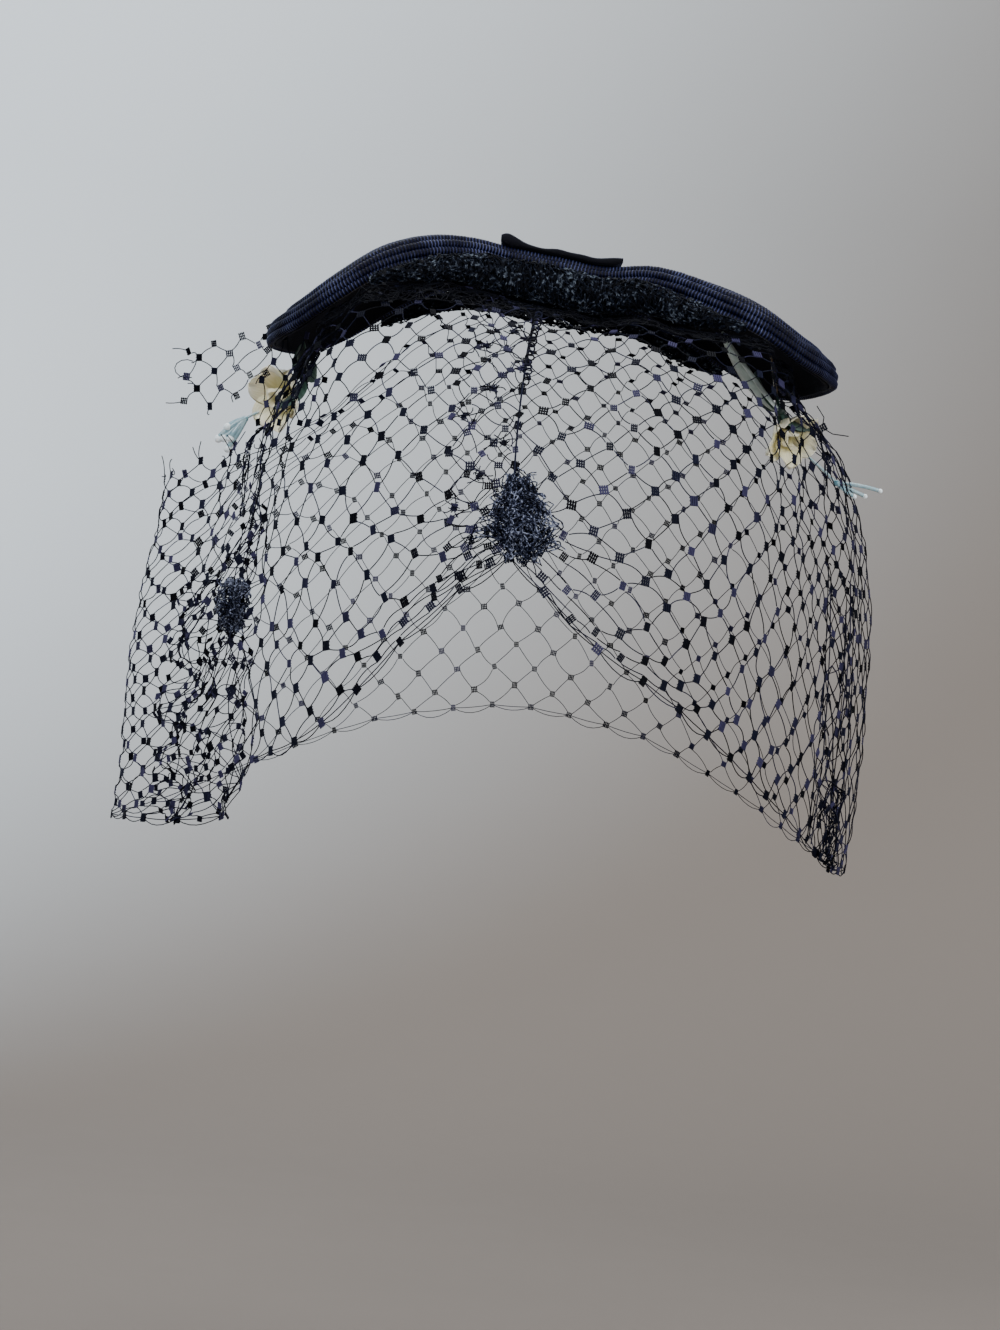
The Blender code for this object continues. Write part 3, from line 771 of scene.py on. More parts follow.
@dataclass(frozen=True)
class VeilForm:
    """The veil's sheet, from where it is sewn on down to its hem."""

    axis_x: float = -3.0
    gather_out: float = 3.45
    tip_tuck: float = 7.0
    tuck_start_x: float = 47.0
    tuck_width: float = 20.0
    net_hang: float = 1.12
    rows: Table = Table(
        "azimuth shoulder_reach shoulder_z hem_reach hem_z",
        (
            (-180.0, 108, -24, 118, -113), (-160.0, 112, -30, 122, -121),
            (-140.0, 118, -40, 126, -138), (-125.0, 127, -95, 128, -150),
            (-114.0, 127, -100, 127, -154), (-105.0, 109, -95, 113, -153),
            (-95.0, 92, -90, 97, -152), (-79.0, 80, -42, 79, -148),
            (-63.0, 84, -32, 80, -134), (-49.5, 87, -28, 82, -128.5),
            (-32.0, 93, -25, 87, -119), (-22.0, 95, -23, 91.5, -106),
            (-14.4, 93, -22, 95.5, -92), (-3.6, 86.5, -22, 97.6, -80),
            (11.0, 94, -22, 96, -97), (20.0, 96, -22, 93.5, -106),
            (33.0, 93, -25, 87, -117), (53.0, 86, -28, 81, -130),
            (75.0, 88, -40, 84, -143), (90.0, 100, -50, 92, -151),
            (105.0, 115, -50, 101, -151), (122.0, 117, -45, 106, -147),
            (140.0, 116, -38, 114, -136), (160.0, 112, -30, 119, -120),
            (180.0, 108, -24, 118, -113),
        ),
    )
    notch: Table = Table(
        "azimuth reach z share",
        (
            (-152.0, 122, -44, 0.0), (-138.0, 125, -46, 0.75), (-125.0, 125, -50, 1.0),
            (-114.0, 119, -54, 1.0), (-105.0, 97, -49, 1.0), (-95.0, 84, -46, 1.0),
            (-88.0, 79, -46, 1.0),
        ),
    )

    def sewn_edge(self, azimuth: float) -> Vector:
        """Returns where the net leaves the hat in a direction.

        Args:
            azimuth: the direction.

        Returns:
            The point on the hat.
        """
        angle = math.radians(azimuth)
        x = HAT.tip_x * math.sin(angle)
        edge, out = HAT.rim_station(x, Facing.BACK if math.cos(angle) > 0 else Facing.FRONT)
        tuck = eased((abs(x) - self.tuck_start_x) / self.tuck_width)
        place = edge + out * blend(self.gather_out, -self.tip_tuck, tuck)
        fold = GATHER_ROWS.at(x, "height") - GATHER_ROWS.at(x, "lift")
        hang = fold * (1 - eased((abs(x) - GATHER_END) / GATHER_FADE))
        z = HAT.crown_height(*edge) - HAT.rim_bottom - hang - self.net_hang
        return Vector((*place, z))

    def bearing(self, azimuth: float, reach: float, z: float) -> Vector:
        """Returns a point at a height, a reach away from the veil's axis."""
        angle = math.radians(azimuth)
        return Vector((self.axis_x + reach * math.sin(angle), -reach * math.cos(angle), z))

    def point(self, azimuth: float, drop: float, free_edge: bool = False) -> Vector:
        """Returns a point of the sheet.

        Args:
            azimuth: the direction, from the middle of the back towards +X.
            drop: 0 at the hat and 1 at the hem.
            free_edge: whether the sheet starts at the loose edge of the left temple.

        Returns:
            The point.
        """
        turned = wrapped(azimuth)
        top = self.sewn_edge(azimuth)
        if free_edge and self.notch.keys[0] < turned < 0:
            reach, z, share = (self.notch.at(turned, n) for n in ("reach", "z", "share"))
            top = top.lerp(self.bearing(turned, reach, z), share)
        at = partial(self.rows.at, turned)
        shoulder = self.bearing(azimuth, at("shoulder_reach"), at("shoulder_z"))
        hem = self.bearing(azimuth, at("hem_reach"), at("hem_z"))
        upper = top.lerp(shoulder, drop)
        return upper.lerp(shoulder.lerp(hem, drop), drop)


VEIL = VeilForm()


# ---- pieces from meshes


def publish(made: Object, finish: Material, nodes: Sequence[str]) -> Object:
    """Gives a finished object its material and body, and hides the solids that it replaces.

    Args:
        made: the finished object.
        finish: its material.
        nodes: the solids that it replaces.

    Returns:
        The same object.
    """
    made.data.materials.clear()
    made.data.materials.append(finish)
    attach(made, "root")
    if nodes:
        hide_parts(*nodes)
    return made


def lofted(
    name: str,
    chains: Sequence[Sequence[Vector]],
    closed: bool,
    facts: dict[str, Sequence[float]] | None = None,
) -> Object:
    """Returns a smooth object of joined rows of points, with its two ends filled.

    Args:
        name: the object's name.
        chains: the rows, in millimetres, all with the same number of points.
        closed: whether each row is a loop.
        facts: numbers for each point, by attribute name, row after row.

    Returns:
        The object.
    """
    work = bmesh.new()
    layers = {key: work.verts.layers.float.new(key) for key in facts or {}}
    rows = [[work.verts.new(Vector(p) * MM) for p in chain] for chain in chains]
    count = len(rows[0])
    for key, layer in layers.items():
        for number, vert in zip(facts[key], (v for row in rows for v in row)):
            vert[layer] = number
    for one, two in zip(rows, rows[1:]):
        for k in range(count if closed else count - 1):
            after = (k + 1) % count
            work.faces.new((one[k], one[after], two[after], two[k]))
    work.faces.new(rows[0])
    work.faces.new(rows[-1])
    bmesh.ops.remove_doubles(work, verts=work.verts, dist=0.002 * MM)
    bmesh.ops.recalc_face_normals(work, faces=work.faces)
    return smooth_object(name, work)


def linked(name: str, data: ID) -> Object:
    """Returns a new object in the scene.

    Args:
        name: the object's name.
        data: the mesh, camera or light that it shows.

    Returns:
        The object.
    """
    made = bpy.data.objects.new(name, data)
    bpy.context.scene.collection.objects.link(made)
    return made


def wires(
    name: str,
    points: Sequence[Vector],
    edges: Sequence[tuple[int, int]],
    facts: dict[str, tuple[str, Sequence]],
) -> Object:
    """Returns an object of bare edges, for a recipe to give a thickness to.

    Args:
        name: the object's name.
        points: its points, in millimetres.
        edges: the pairs of points that are joined.
        facts: each attribute's data type and its value for each point.

    Returns:
        The object.
    """
    mesh = bpy.data.meshes.new(name)
    mesh.from_pydata([p * MM for p in points], edges, [])
    for key, (kind, values) in facts.items():
        mesh.attributes.new(key, kind, "POINT").data.foreach_set("value", values)
    return linked(name, mesh)


def smooth_object(name: str, work: bmesh.types.BMesh) -> Object:
    """Turns a bmesh in metres into an object with smooth shading.

    Args:
        name: the object's name.
        work: its mesh, which is freed.

    Returns:
        The object.
    """
    mesh = bpy.data.meshes.new(name)
    work.to_mesh(mesh)
    work.free()
    mesh.shade_smooth()
    return linked(name, mesh)


def joined(name: str, parts: list[Object]) -> Object:
    """Joins objects into one mesh object, keeping each closed.

    Args:
        name: the whole's name.
        parts: the objects, which go into it.

    Returns:
        The whole.
    """
    if len(parts) > 1:
        with bpy.context.temp_override(active_object=parts[0], selected_editable_objects=parts):
            bpy.ops.object.join()
    parts[0].name = name
    return parts[0]


# ---- geometry node recipes


def run_recipe(made: Object, tree: NodeTree, **inputs: object) -> None:
    """Runs a geometry tree on an object once and keeps the mesh that it makes.

    Args:
        made: the object whose mesh is the tree's input.
        tree: the geometry node tree.
        inputs: the tree's own inputs by name, with underscores for spaces.
    """
    modifier = made.modifiers.new("recipe", "NODES")
    modifier.node_group = tree
    for item in tree.interface.items_tree:
        key = item.name.lower().replace(" ", "_")
        if item.item_type == "SOCKET" and item.in_out == "INPUT" and key in inputs:
            modifier[item.identifier] = inputs[key]
    graph = bpy.context.evaluated_depsgraph_get()
    mesh = bpy.data.meshes.new_from_object(made.evaluated_get(graph))
    made.modifiers.remove(modifier)
    made.data = mesh


class Recipe(Nodes):
    """A geometry node tree with named inputs, and the nodes that go into it."""

    def __init__(self, name: str, **inputs: float) -> None:
        """Args: name of the tree; inputs are its own, by name, with their defaults.

        A whole number is an integer input. Underscores stand for spaces.
        """
        super().__init__(bpy.data.node_groups.new(name, "GeometryNodeTree"))
        self.socket("Geometry", "Geometry")
        for label, default in inputs.items():
            kind = "Int" if isinstance(default, int) else "Float"
            self.socket(label.replace("_", " "), kind).default_value = default
        self.socket("Material", "Material")
        self.socket("Geometry", "Geometry", "OUTPUT")
        start = self.add("NodeGroupInput")
        self.given = {socket.name: socket for socket in start.outputs if socket.name}

    def socket(self, label: str, kind: str, way: str = "INPUT") -> object:
        """Returns a new input or output of the tree."""
        face = self.tree.interface
        return face.new_socket(label, in_out=way, socket_type="NodeSocket" + kind)

    def close(self, geometry: object) -> NodeTree:
        """Ends the tree by making its instances real and painting the result.

        Args:
            geometry: what it has made.

        Returns:
            The tree.
        """
        real = self.add("GeometryNodeRealizeInstances", None, {"Geometry": geometry})
        sockets = {"Geometry": real, "Material": self.given["Material"]}
        painted = self.add("GeometryNodeSetMaterial", None, sockets)
        self.add("NodeGroupOutput", None, {0: painted})
        return self.tree


def sweep_recipe() -> NodeTree:
    """Returns the tree that sweeps a round, wrapped cord along each chain of edges.

    It reads thick, a radius in metres, from the chain's points, and stores wrap, the
    number of wraps so far.

    Returns:
        The tree.
    """
    nodes = Recipe("sweep_cords", Sides=8, Half_Wrap=0.0004, Relief=0.1)
    given = nodes.given
    curve = nodes.add("GeometryNodeMeshToCurve", None, {"Mesh": given["Geometry"]})
    sockets = {"Curve": curve, "Length": given["Half Wrap"]}
    evenly = nodes.add("GeometryNodeResampleCurve", {"mode": "LENGTH"}, sockets)
    index = nodes.add("GeometryNodeSplineParameter").outputs["Index"]
    wraps = nodes.add(
        "GeometryNodeStoreNamedAttribute",
        {"data_type": "FLOAT", "domain": "POINT"},
        {"Geometry": evenly, "Name": "wrap", "Value": nodes.maths("MULTIPLY", index, 0.5)},
    )
    crest = nodes.maths("MULTIPLY", nodes.maths("MODULO", index, 2.0), given["Relief"])
    thick = nodes.maths("MULTIPLY", nodes.named("thick"), nodes.maths("ADD", crest, 1.0))
    return nodes.close(nodes.tubes(wraps, given["Sides"], 1.0, thick))


def net_recipe() -> NodeTree:
    """Returns the tree that makes threads of the edges and woven blocks of the points.

    It reads is_block, turn and tint from the points. A block is a few upright bars side
    by side, closed by a few thinner ones across them.

    Returns:
        The tree.
    """
    nodes = Recipe("block_net", Block_Size=0.0026, Thread_Radius=0.00015, Bars=4, Seed=1)
    given = nodes.given
    size, thread, bars = given["Block Size"], given["Thread Radius"], given["Bars"]

    def ladder(count: object, share: float, lift: float, upright: bool) -> Node:
        """Returns the node that puts bars side by side.

        Args:
            count: how many bars.
            share: a bar's width, as a share of their pitch.
            lift: how far they stand off, in thread radii.
            upright: whether they stand or lie.

        Returns:
            The node.
        """
        pitch = nodes.maths("DIVIDE", size, count)
        wide = nodes.maths("MULTIPLY", pitch, share)
        high = nodes.maths("MULTIPLY", thread, 1.9)
        shape = (wide, size, high) if upright else (size, wide, high)
        bar = nodes.add("GeometryNodeMeshCube", None, {"Size": nodes.vector(*shape)})
        first = nodes.maths("MULTIPLY", nodes.maths("SUBTRACT", size, pitch), -0.5)
        height = nodes.maths("MULTIPLY", thread, lift)
        start = nodes.vector(*((first, 0.0, height) if upright else (0.0, first, height)))
        step = nodes.vector(*((pitch, 0.0, 0.0) if upright else (0.0, pitch, 0.0)))
        sockets = {"Count": count, "Start Location": start, "Offset": step}
        line = nodes.add("GeometryNodeMeshLine", {"mode": "OFFSET"}, sockets)
        return nodes.add("GeometryNodeInstanceOnPoints", None, {"Points": line, "Instance": bar})

    uprights = ladder(bars, 0.66, 0.0, True)
    rungs = ladder(nodes.maths("SUBTRACT", bars, 1.0), 0.26, 0.9, False)
    sockets = {"Geometry": nodes.together(uprights, rungs)}
    block = nodes.add("GeometryNodeRealizeInstances", None, sockets)
    sockets = {"Geometry": given["Geometry"], "Selection": nodes.named("is_block", "BOOLEAN")}
    parts = nodes.add("GeometryNodeSeparateGeometry", {"domain": "POINT"}, sockets)
    least, most = Vector((0.66, 0.86, 1.0)), Vector((1.10, 1.12, 1.2))
    sockets = {"Min": least, "Max": most, "Seed": given["Seed"]}
    wear = nodes.add("FunctionNodeRandomValue", {"data_type": "FLOAT_VECTOR"}, sockets)
    sockets = {0: wear, "Scale": nodes.named("thick")}
    varied = nodes.add("ShaderNodeVectorMath", {"operation": "SCALE"}, sockets)
    sockets = {
        "Points": parts.outputs["Selection"],
        "Instance": block,
        "Rotation": nodes.named("turn", "QUATERNION"),
        "Scale": varied,
    }
    placed = nodes.add("GeometryNodeInstanceOnPoints", None, sockets)
    curve = nodes.add("GeometryNodeMeshToCurve", None, {"Mesh": parts.outputs["Inverted"]})
    threads = nodes.tubes(curve, 5, thread, nodes.named("thick"))
    return nodes.close(nodes.together(placed, threads))


# ---- thread work


@dataclass(frozen=True)
class Weave:
    """How a piece's blocks are woven: their width, in millimetres, and their bars."""

    width: float
    bars: int


THREAD_RADIUS = 0.15
OPEN_NET = Weave(2.4, 4)
CRUMPLED_NET = Weave(1.2, 3)


@dataclass
class ThreadWork:
    """Threads and woven blocks gathered for one piece of net, in millimetres.

    Each point is its place, whether a block stands there, the block's turn, its tint, and
    its size or thickness as a share of the usual.
    """

    dice: Dice
    tone: float = 0.0
    points: list[tuple[Vector, bool, Quaternion, float, float]] = field(default_factory=list)
    edges: list[tuple[int, int]] = field(default_factory=list)

    def block(self, place: Vector, across: Vector, normal: Vector, scale: float = 1.0) -> None:
        """Adds a block at a place, squared up to a direction in its plane.

        Args:
            place: its middle.
            across: a way in its plane.
            normal: the way it faces.
            scale: its size.
        """
        normal = normal.normalized()
        side = (across - normal * across.dot(normal)).normalized()
        turn = Matrix((side, normal.cross(side), normal)).transposed().to_quaternion()
        self.points.append((place, True, turn, self.dice.share() + self.tone, scale))

    def thread(self, path: Sequence[Vector], thick: float = 1.0) -> None:
        """Adds a thread along a path, thick times as thick as the usual one.

        Args:
            path: the points.
            thick: the thickness, 1 for the usual.
        """
        tint, first = self.dice.share() * 0.7 + self.tone, len(self.points)
        self.points += [(place, False, Quaternion(), tint, thick) for place in path]
        self.edges += [(k - 1, k) for k in range(first + 1, len(self.points))]

    def bowed(
        self, start: Vector, end: Vector, bow: Vector, steps: int = 5, thick: float = 1.0
    ) -> None:
        """Adds a thread between two points that bows out by a vector at its middle."""
        self.thread(curved(start, end, bow, steps), thick)

    def spider(self, middle: Vector, side: Vector, down: Vector, reach: float) -> None:
        """Adds a small dark knot of thread with legs, where cells were sewn together.

        Args:
            middle: where it is.
            side: across the net.
            down: down the net.
            reach: the legs' length.
        """
        dice = self.dice
        side, down = side.normalized(), down.normalized()
        self.block(middle, side + down * dice.spread(0.8), side.cross(down), 0.8)
        for leg in range(10):
            angle = math.tau * leg / 10 + dice.spread(0.4)
            long = reach * (0.45 if leg % 2 else 0.8 + 0.45 * dice.share())
            way = side * math.cos(angle) + down * math.sin(angle)
            self.bowed(middle - way * 0.4, middle + way * long, dice.offset(0.8), 4)

    def scribble(self, place: Place, reach: tuple[float, float], steps: int = 7) -> None:
        """Adds a loose thread that wanders over a surface.

        Args:
            place: the surface, as a function of two numbers from 0 to 1.
            reach: how far the thread runs, as shares of the surface each way.
            steps: the pieces of the thread.
        """
        dice = self.dice
        u, v = dice.share(), dice.share()
        heading, bend = dice.spread(math.pi), dice.spread(2.6)
        path = []
        for _ in range(steps + 1):
            path.append(place(u, v) + dice.offset(0.12))
            heading += bend / steps
            u = min(max(u + reach[0] / steps * math.cos(heading), 0.0), 1.0)
            v = min(max(v + reach[1] / steps * math.sin(heading), 0.0), 1.0)
        self.thread(path, 0.8 + 0.5 * dice.share())

    def build(self, name: str, tree: NodeTree, finish: Material, weave: Weave) -> Object:
        """Returns the finished mesh object.

        Args:
            name: the object's name.
            tree: the net recipe.
            finish: the material.
            weave: the size of its blocks.

        Returns:
            The object, with its threads and blocks as one mesh.
        """
        places, standing, turns, tints, thick = zip(*self.points)
        facts = {
            "is_block": ("BOOLEAN", standing),
            "tint": ("FLOAT", tints),
            "thick": ("FLOAT", thick),
            "turn": ("QUATERNION", [part for turn in turns for part in turn]),
        }
        made = wires(name, places, self.edges, facts)
        size = {"block_size": weave.width * MM, "thread_radius": THREAD_RADIUS * MM}
        run_recipe(made, tree, bars=weave.bars, material=finish, **size)
        return made


@dataclass
class Lattice:
    """A patch of block net laid over a place function.

    Blocks sit at the even points of a grid of 2*columns by 2*rows, and each is tied to
    the four round it by a thread from corner to corner.
    """

    place: Place
    columns: int
    rows: int
    block: float = OPEN_NET.width
    scale: float = 1.0
    stray: float = 0.5
    wobble: float = 10.0
    bow: float = 0.45
    fineness: Callable[[float], float] = lambda u: 1.0

    def lay(self, work: ThreadWork) -> dict[tuple[int, int], Vector]:
        """Adds the patch to a piece.

        Args:
            work: the piece's threads and blocks.

        Returns:
            The blocks' places, by their column and row.
        """
        dice = work.dice
        wide, tall = 2 * self.columns, 2 * self.rows
        step_u, step_v = 0.5 / wide, 0.5 / tall
        spots: dict[tuple[int, int], tuple[Vector, Vector, Vector]] = {}
        for i in range(wide + 1):
            for j in range(tall + 1):
                if (i + j) % 2:
                    continue
                u, v = i / wide, j / tall
                here = self.place(u, v)
                ahead = self.place(min(u + step_u, 1.0), v)
                side = ahead - self.place(max(u - step_u, 0.0), v)
                below = self.place(u, min(v + step_v, 1.0))
                down = below - self.place(u, max(v - step_v, 0.0))
                normal = side.cross(down)
                if normal.length < 1e-9:
                    continue
                spin = Quaternion(normal, math.radians(dice.spread(self.wobble)))
                side = (spin @ side).normalized()
                down = (down - side * down.dot(side)).normalized()
                inner = 0 < i < wide and 0 < j < tall
                here += dice.offset(self.stray if inner else 0.15)
                work.block(here, side, side.cross(down), self.scale * self.fineness(u))
                spots[i, j] = here, side, down
        for (i, j), (here, side, down) in spots.items():
            fine = self.fineness(i / wide)
            half = self.block * self.scale * fine * 0.46
            for lean in (-1, 1):
                if (i + lean, j + 1) not in spots:
                    continue
                there, end_side, end_down = spots[i + lean, j + 1]
                start = here + (side * lean + down) * half
                end = there - (end_side * lean + end_down) * half
                reach = (end - start).length
                bow = dice.offset(self.bow * min(reach / 6.0, 1.5))
                work.bowed(start, end, bow, thick=fine)
        return {key: here for key, (here, _, _) in spots.items()}


# ---- the pieces


@dataclass(frozen=True)
class Finishes:
    """The materials and recipes that the pieces share."""

    gimp: Material = field(default_factory=GimpFinish().build)
    velvet: Material = field(default_factory=VelvetFinish().build)
    net: Material = field(default_factory=NetFinish().build)
    crushed: Material = field(default_factory=CRUSHED_NET.build)
    pinched: Material = field(default_factory=PINCHED_NET.build)
    petal: Material = field(default_factory=PetalFinish().build)
    leaf: Material = field(default_factory=DARK_LEAF.build)
    mint: Material = field(default_factory=MINT_LEAF.build)
    stamen: Material = field(default_factory=StamenFinish().build)
    sweep_tree: NodeTree = field(default_factory=sweep_recipe)
    net_tree: NodeTree = field(default_factory=net_recipe)


def wall_face(
    station: Station,
    shares: Sequence[float],
    rim: Sequence[tuple[float, float]],
    lift: float,
    pucker: float = 0.0,
) -> list[Vector]:
    """Returns one face of a wing's wall at a station, over the top and down the rim.

    Args:
        station: where round the wing.
        shares: the places between the spine and the edge.
        rim: how far out and down each point of the rim is.
        lift: how far above the top the face is.
        pucker: how much further out it is at the edge.

    Returns:
        The points.
    """
    top = [HAT.row_point(station, share, lift + pucker * share) for share in shares]
    return top + [HAT.rim_point(station, out + pucker, down) for out, down in rim]


@dataclass(frozen=True)
class Cord:
    """One cord: its path, and its radius at each point, in millimetres."""

    path: list[Vector]
    radii: list[float]


@dataclass(frozen=True)
class Wing:
    """Half of the bow: a stiff wall that rows of gimp cord are sewn over."""

    side: Side
    rows: int = 15
    straight: int = 34
    tip: int = 44
    thinnest: float = 0.42
    thickest: float = 1.12
    wraps_each_step: float = 2.6
    rim_cords: tuple[tuple[float, float], ...] = ((-2.5, 0.3), (-0.8, 1.7), (0.0, 3.7), (0.0, 5.8))

    def base(self) -> Object:
        """Returns the wall under the cords.

        Returns:
            The wall.
        """
        rim = ((-2.2, 1.1), (-1.3, 2.4), (-0.45, 3.7), (-0.45, 6.5))
        inner_rim = ((-1.7, 2.9), (-1.05, 4.0), (-1.05, 6.5))
        chains = []
        shares = (0.0, 0.25, 0.5, 0.75, 1.0)
        for station in HAT.stations(self.side, self.straight, self.tip):
            outer = wall_face(station, shares, rim, -0.75)
            chains.append(outer + wall_face(station, shares, inner_rim, -2.0)[::-1])
        wraps = [k * self.wraps_each_step for k, chain in enumerate(chains) for _ in chain]
        return lofted(self.side.word + "_base", chains, False, facts={"wrap": wraps})

    @staticmethod
    def run_on(path: list[Vector], row: int) -> list[Vector]:
        """Returns a path with its ends run on, so that neighbours' wraps are out of step.

        Args:
            path: the row.
            row: its number.

        Returns:
            The longer row.
        """
        reach = 0.24 + 0.17 * (row * 2 % 3)
        first = path[0] + (path[0] - path[1]).normalized() * reach
        last = path[-1] + (path[-1] - path[-2]).normalized() * reach
        return [first, *path, last]

    def cords(self) -> Iterator[Cord]:
        """Yields the sewn rows from the spine outwards, and then the rim's rows.

        Yields:
            Each cord.
        """
        dice = Dice(40 + self.side.value)
        stations = HAT.stations(self.side, self.straight, self.tip)
        for row in range(self.rows):
            share = (row + 0.6) / self.rows
            path, radii = [], []
            for station in stations:
                end = station.edge - station.out * HAT.top_inset
                spacing = (end - station.spine).length / self.rows
                radius = min(max(spacing * 0.54, self.thinnest), self.thickest)
                path.append(HAT.row_point(station, share, 0.1 - radius))
                radii.append(radius)
            path = self.run_on(path, row)
            yield Cord([p + dice.offset(0.05) for p in path], [radii[0], *radii, radii[-1]])
        for row, (out, down) in enumerate(self.rim_cords):
            path = [HAT.rim_point(station, out, down) for station in stations]
            path = self.run_on(path, row + self.rows)
            yield Cord(
                [p + dice.offset(0.04) for p in path],
                [HAT.cord_radius + dice.spread(0.03) for _ in path],
            )

    def build(self, kit: Finishes) -> Object:
        """Returns the dressed wing.

        Args:
            kit: the finishes.

        Returns:
            The piece.
        """
        cords = list(self.cords())
        swept = sweep(self.side.word + "_cords", cords, kit, kit.gimp, 0.48, 0.15)
        made = joined(self.side.word + "_gimp", [swept, self.base()])
        return publish(made, kit.gimp, [self.side.word + "_wing"])


def sweep(
    name: str,
    cords: Sequence[Cord],
    kit: Finishes,
    finish: Material,
    half_wrap: float = 0.5,
    relief: float = 0.0,
) -> Object:
    """Makes one object of round cords.

    Args:
        name: the object's name.
        cords: their paths and radii.
        kit: holds the sweep recipe.
        finish: the material.
        half_wrap: half the pitch of the wrapping thread, in millimetres.
        relief: how far each wrap stands out, as a share of the radius.

    Returns:
        The object.
    """
    points: list[Vector] = []
    edges: list[tuple[int, int]] = []
    radii: list[float] = []
    for cord in cords:
        first = len(points)
        points += cord.path
        radii += cord.radii
        edges += [(k - 1, k) for k in range(first + 1, len(points))]
    made = wires(name, points, edges, {"thick": ("FLOAT", [r * MM for r in radii])})
    run_recipe(made, kit.sweep_tree, material=finish, half_wrap=half_wrap * MM, relief=relief)
    return made


@dataclass(frozen=True)
class Lining:
    """The velvet that covers the inside of a wing."""

    side: Side
    straight: int = 30
    tip: int = 36

    def build(self, kit: Finishes) -> Object:
        """Returns the lining, a thin wall with soft puckers at its edge.

        Args:
            kit: the finishes.

        Returns:
            The piece.
        """
        face, back, lift = 1.45, 2.45, -2.4
        outer_rim = ((-2.05, 3.3), (-face, 4.3), (-face, 6.4))
        inner_rim = ((-2.95, 4.1), (-back, 4.8), (-back, 6.4))
        shares = (0.0, 0.2, 0.4, 0.6, 0.8, 1.0)
        chains = []
        for k, station in enumerate(HAT.stations(self.side, self.straight, self.tip)):
            pucker = 0.22 * math.sin(k * 1.9) * math.sin(k * 0.7)
            outer = wall_face(station, shares, outer_rim, lift)
            inner = wall_face(station, shares, inner_rim, lift - 1.0, pucker)
            chains.append(outer + inner[::-1])
        made = lofted(self.side.word + "_velvet", chains, False)
        return publish(made, kit.velvet, [self.side.word + "_lining"])


@dataclass(frozen=True)
class Knot:
    """The velvet strip over the pinched middle, with its folded left end."""

    steps: int = 40
    rows: Table = Table(
        "x thick round_off",
        (
            (-16.6, 2.2, 0.5), (-15.6, 2.8, 0.0), (-12.0, 2.6, 0.0), (-10.0, 1.8, 0.0),
            (0.0, 1.8, 0.0), (12.0, 1.9, 0.0), (16.0, 2.1, 0.0), (17.0, 1.9, 0.5),
        ),
    )

    def build(self, kit: Finishes) -> Object:
        """Returns the strip, with shallow creases along it.

        Args:
            kit: the finishes.

        Returns:
            The piece.
        """
        loops = []
        shares = [math.sin(math.radians(a)) for a in range(-90, 91, 9)]
        for k in range(self.steps + 1):
            x = blend(self.rows.keys[0], self.rows.keys[-1], eased(k / self.steps))
            reach = HAT.half_depth(abs(x)) - 1.2
            thick = self.rows.at(x, "thick")
            off = self.rows.at(x, "round_off")
            under, over = [], []
            for share in shares:
                y = HAT.spine_y + reach * share
                base = HAT.crown_height(x, y) + 0.25 + 0.65 * share * share + off
                edge = 0.35 * eased((abs(share) - 0.93) / 0.07)
                crease = 0.16 * math.sin(share * 9.0 + x * 0.12) * (1 - share * share)
                crease += 0.10 * math.sin(x * 0.9 + share * 4.0)
                under.append(Vector((x, y, base + edge)))
                over.append(Vector((x, y, base + thick - off - edge + crease)))
            loops.append(under + over[::-1])
        made = lofted("knot_velvet", loops, True)
        return publish(made, kit.velvet, ["knot"])


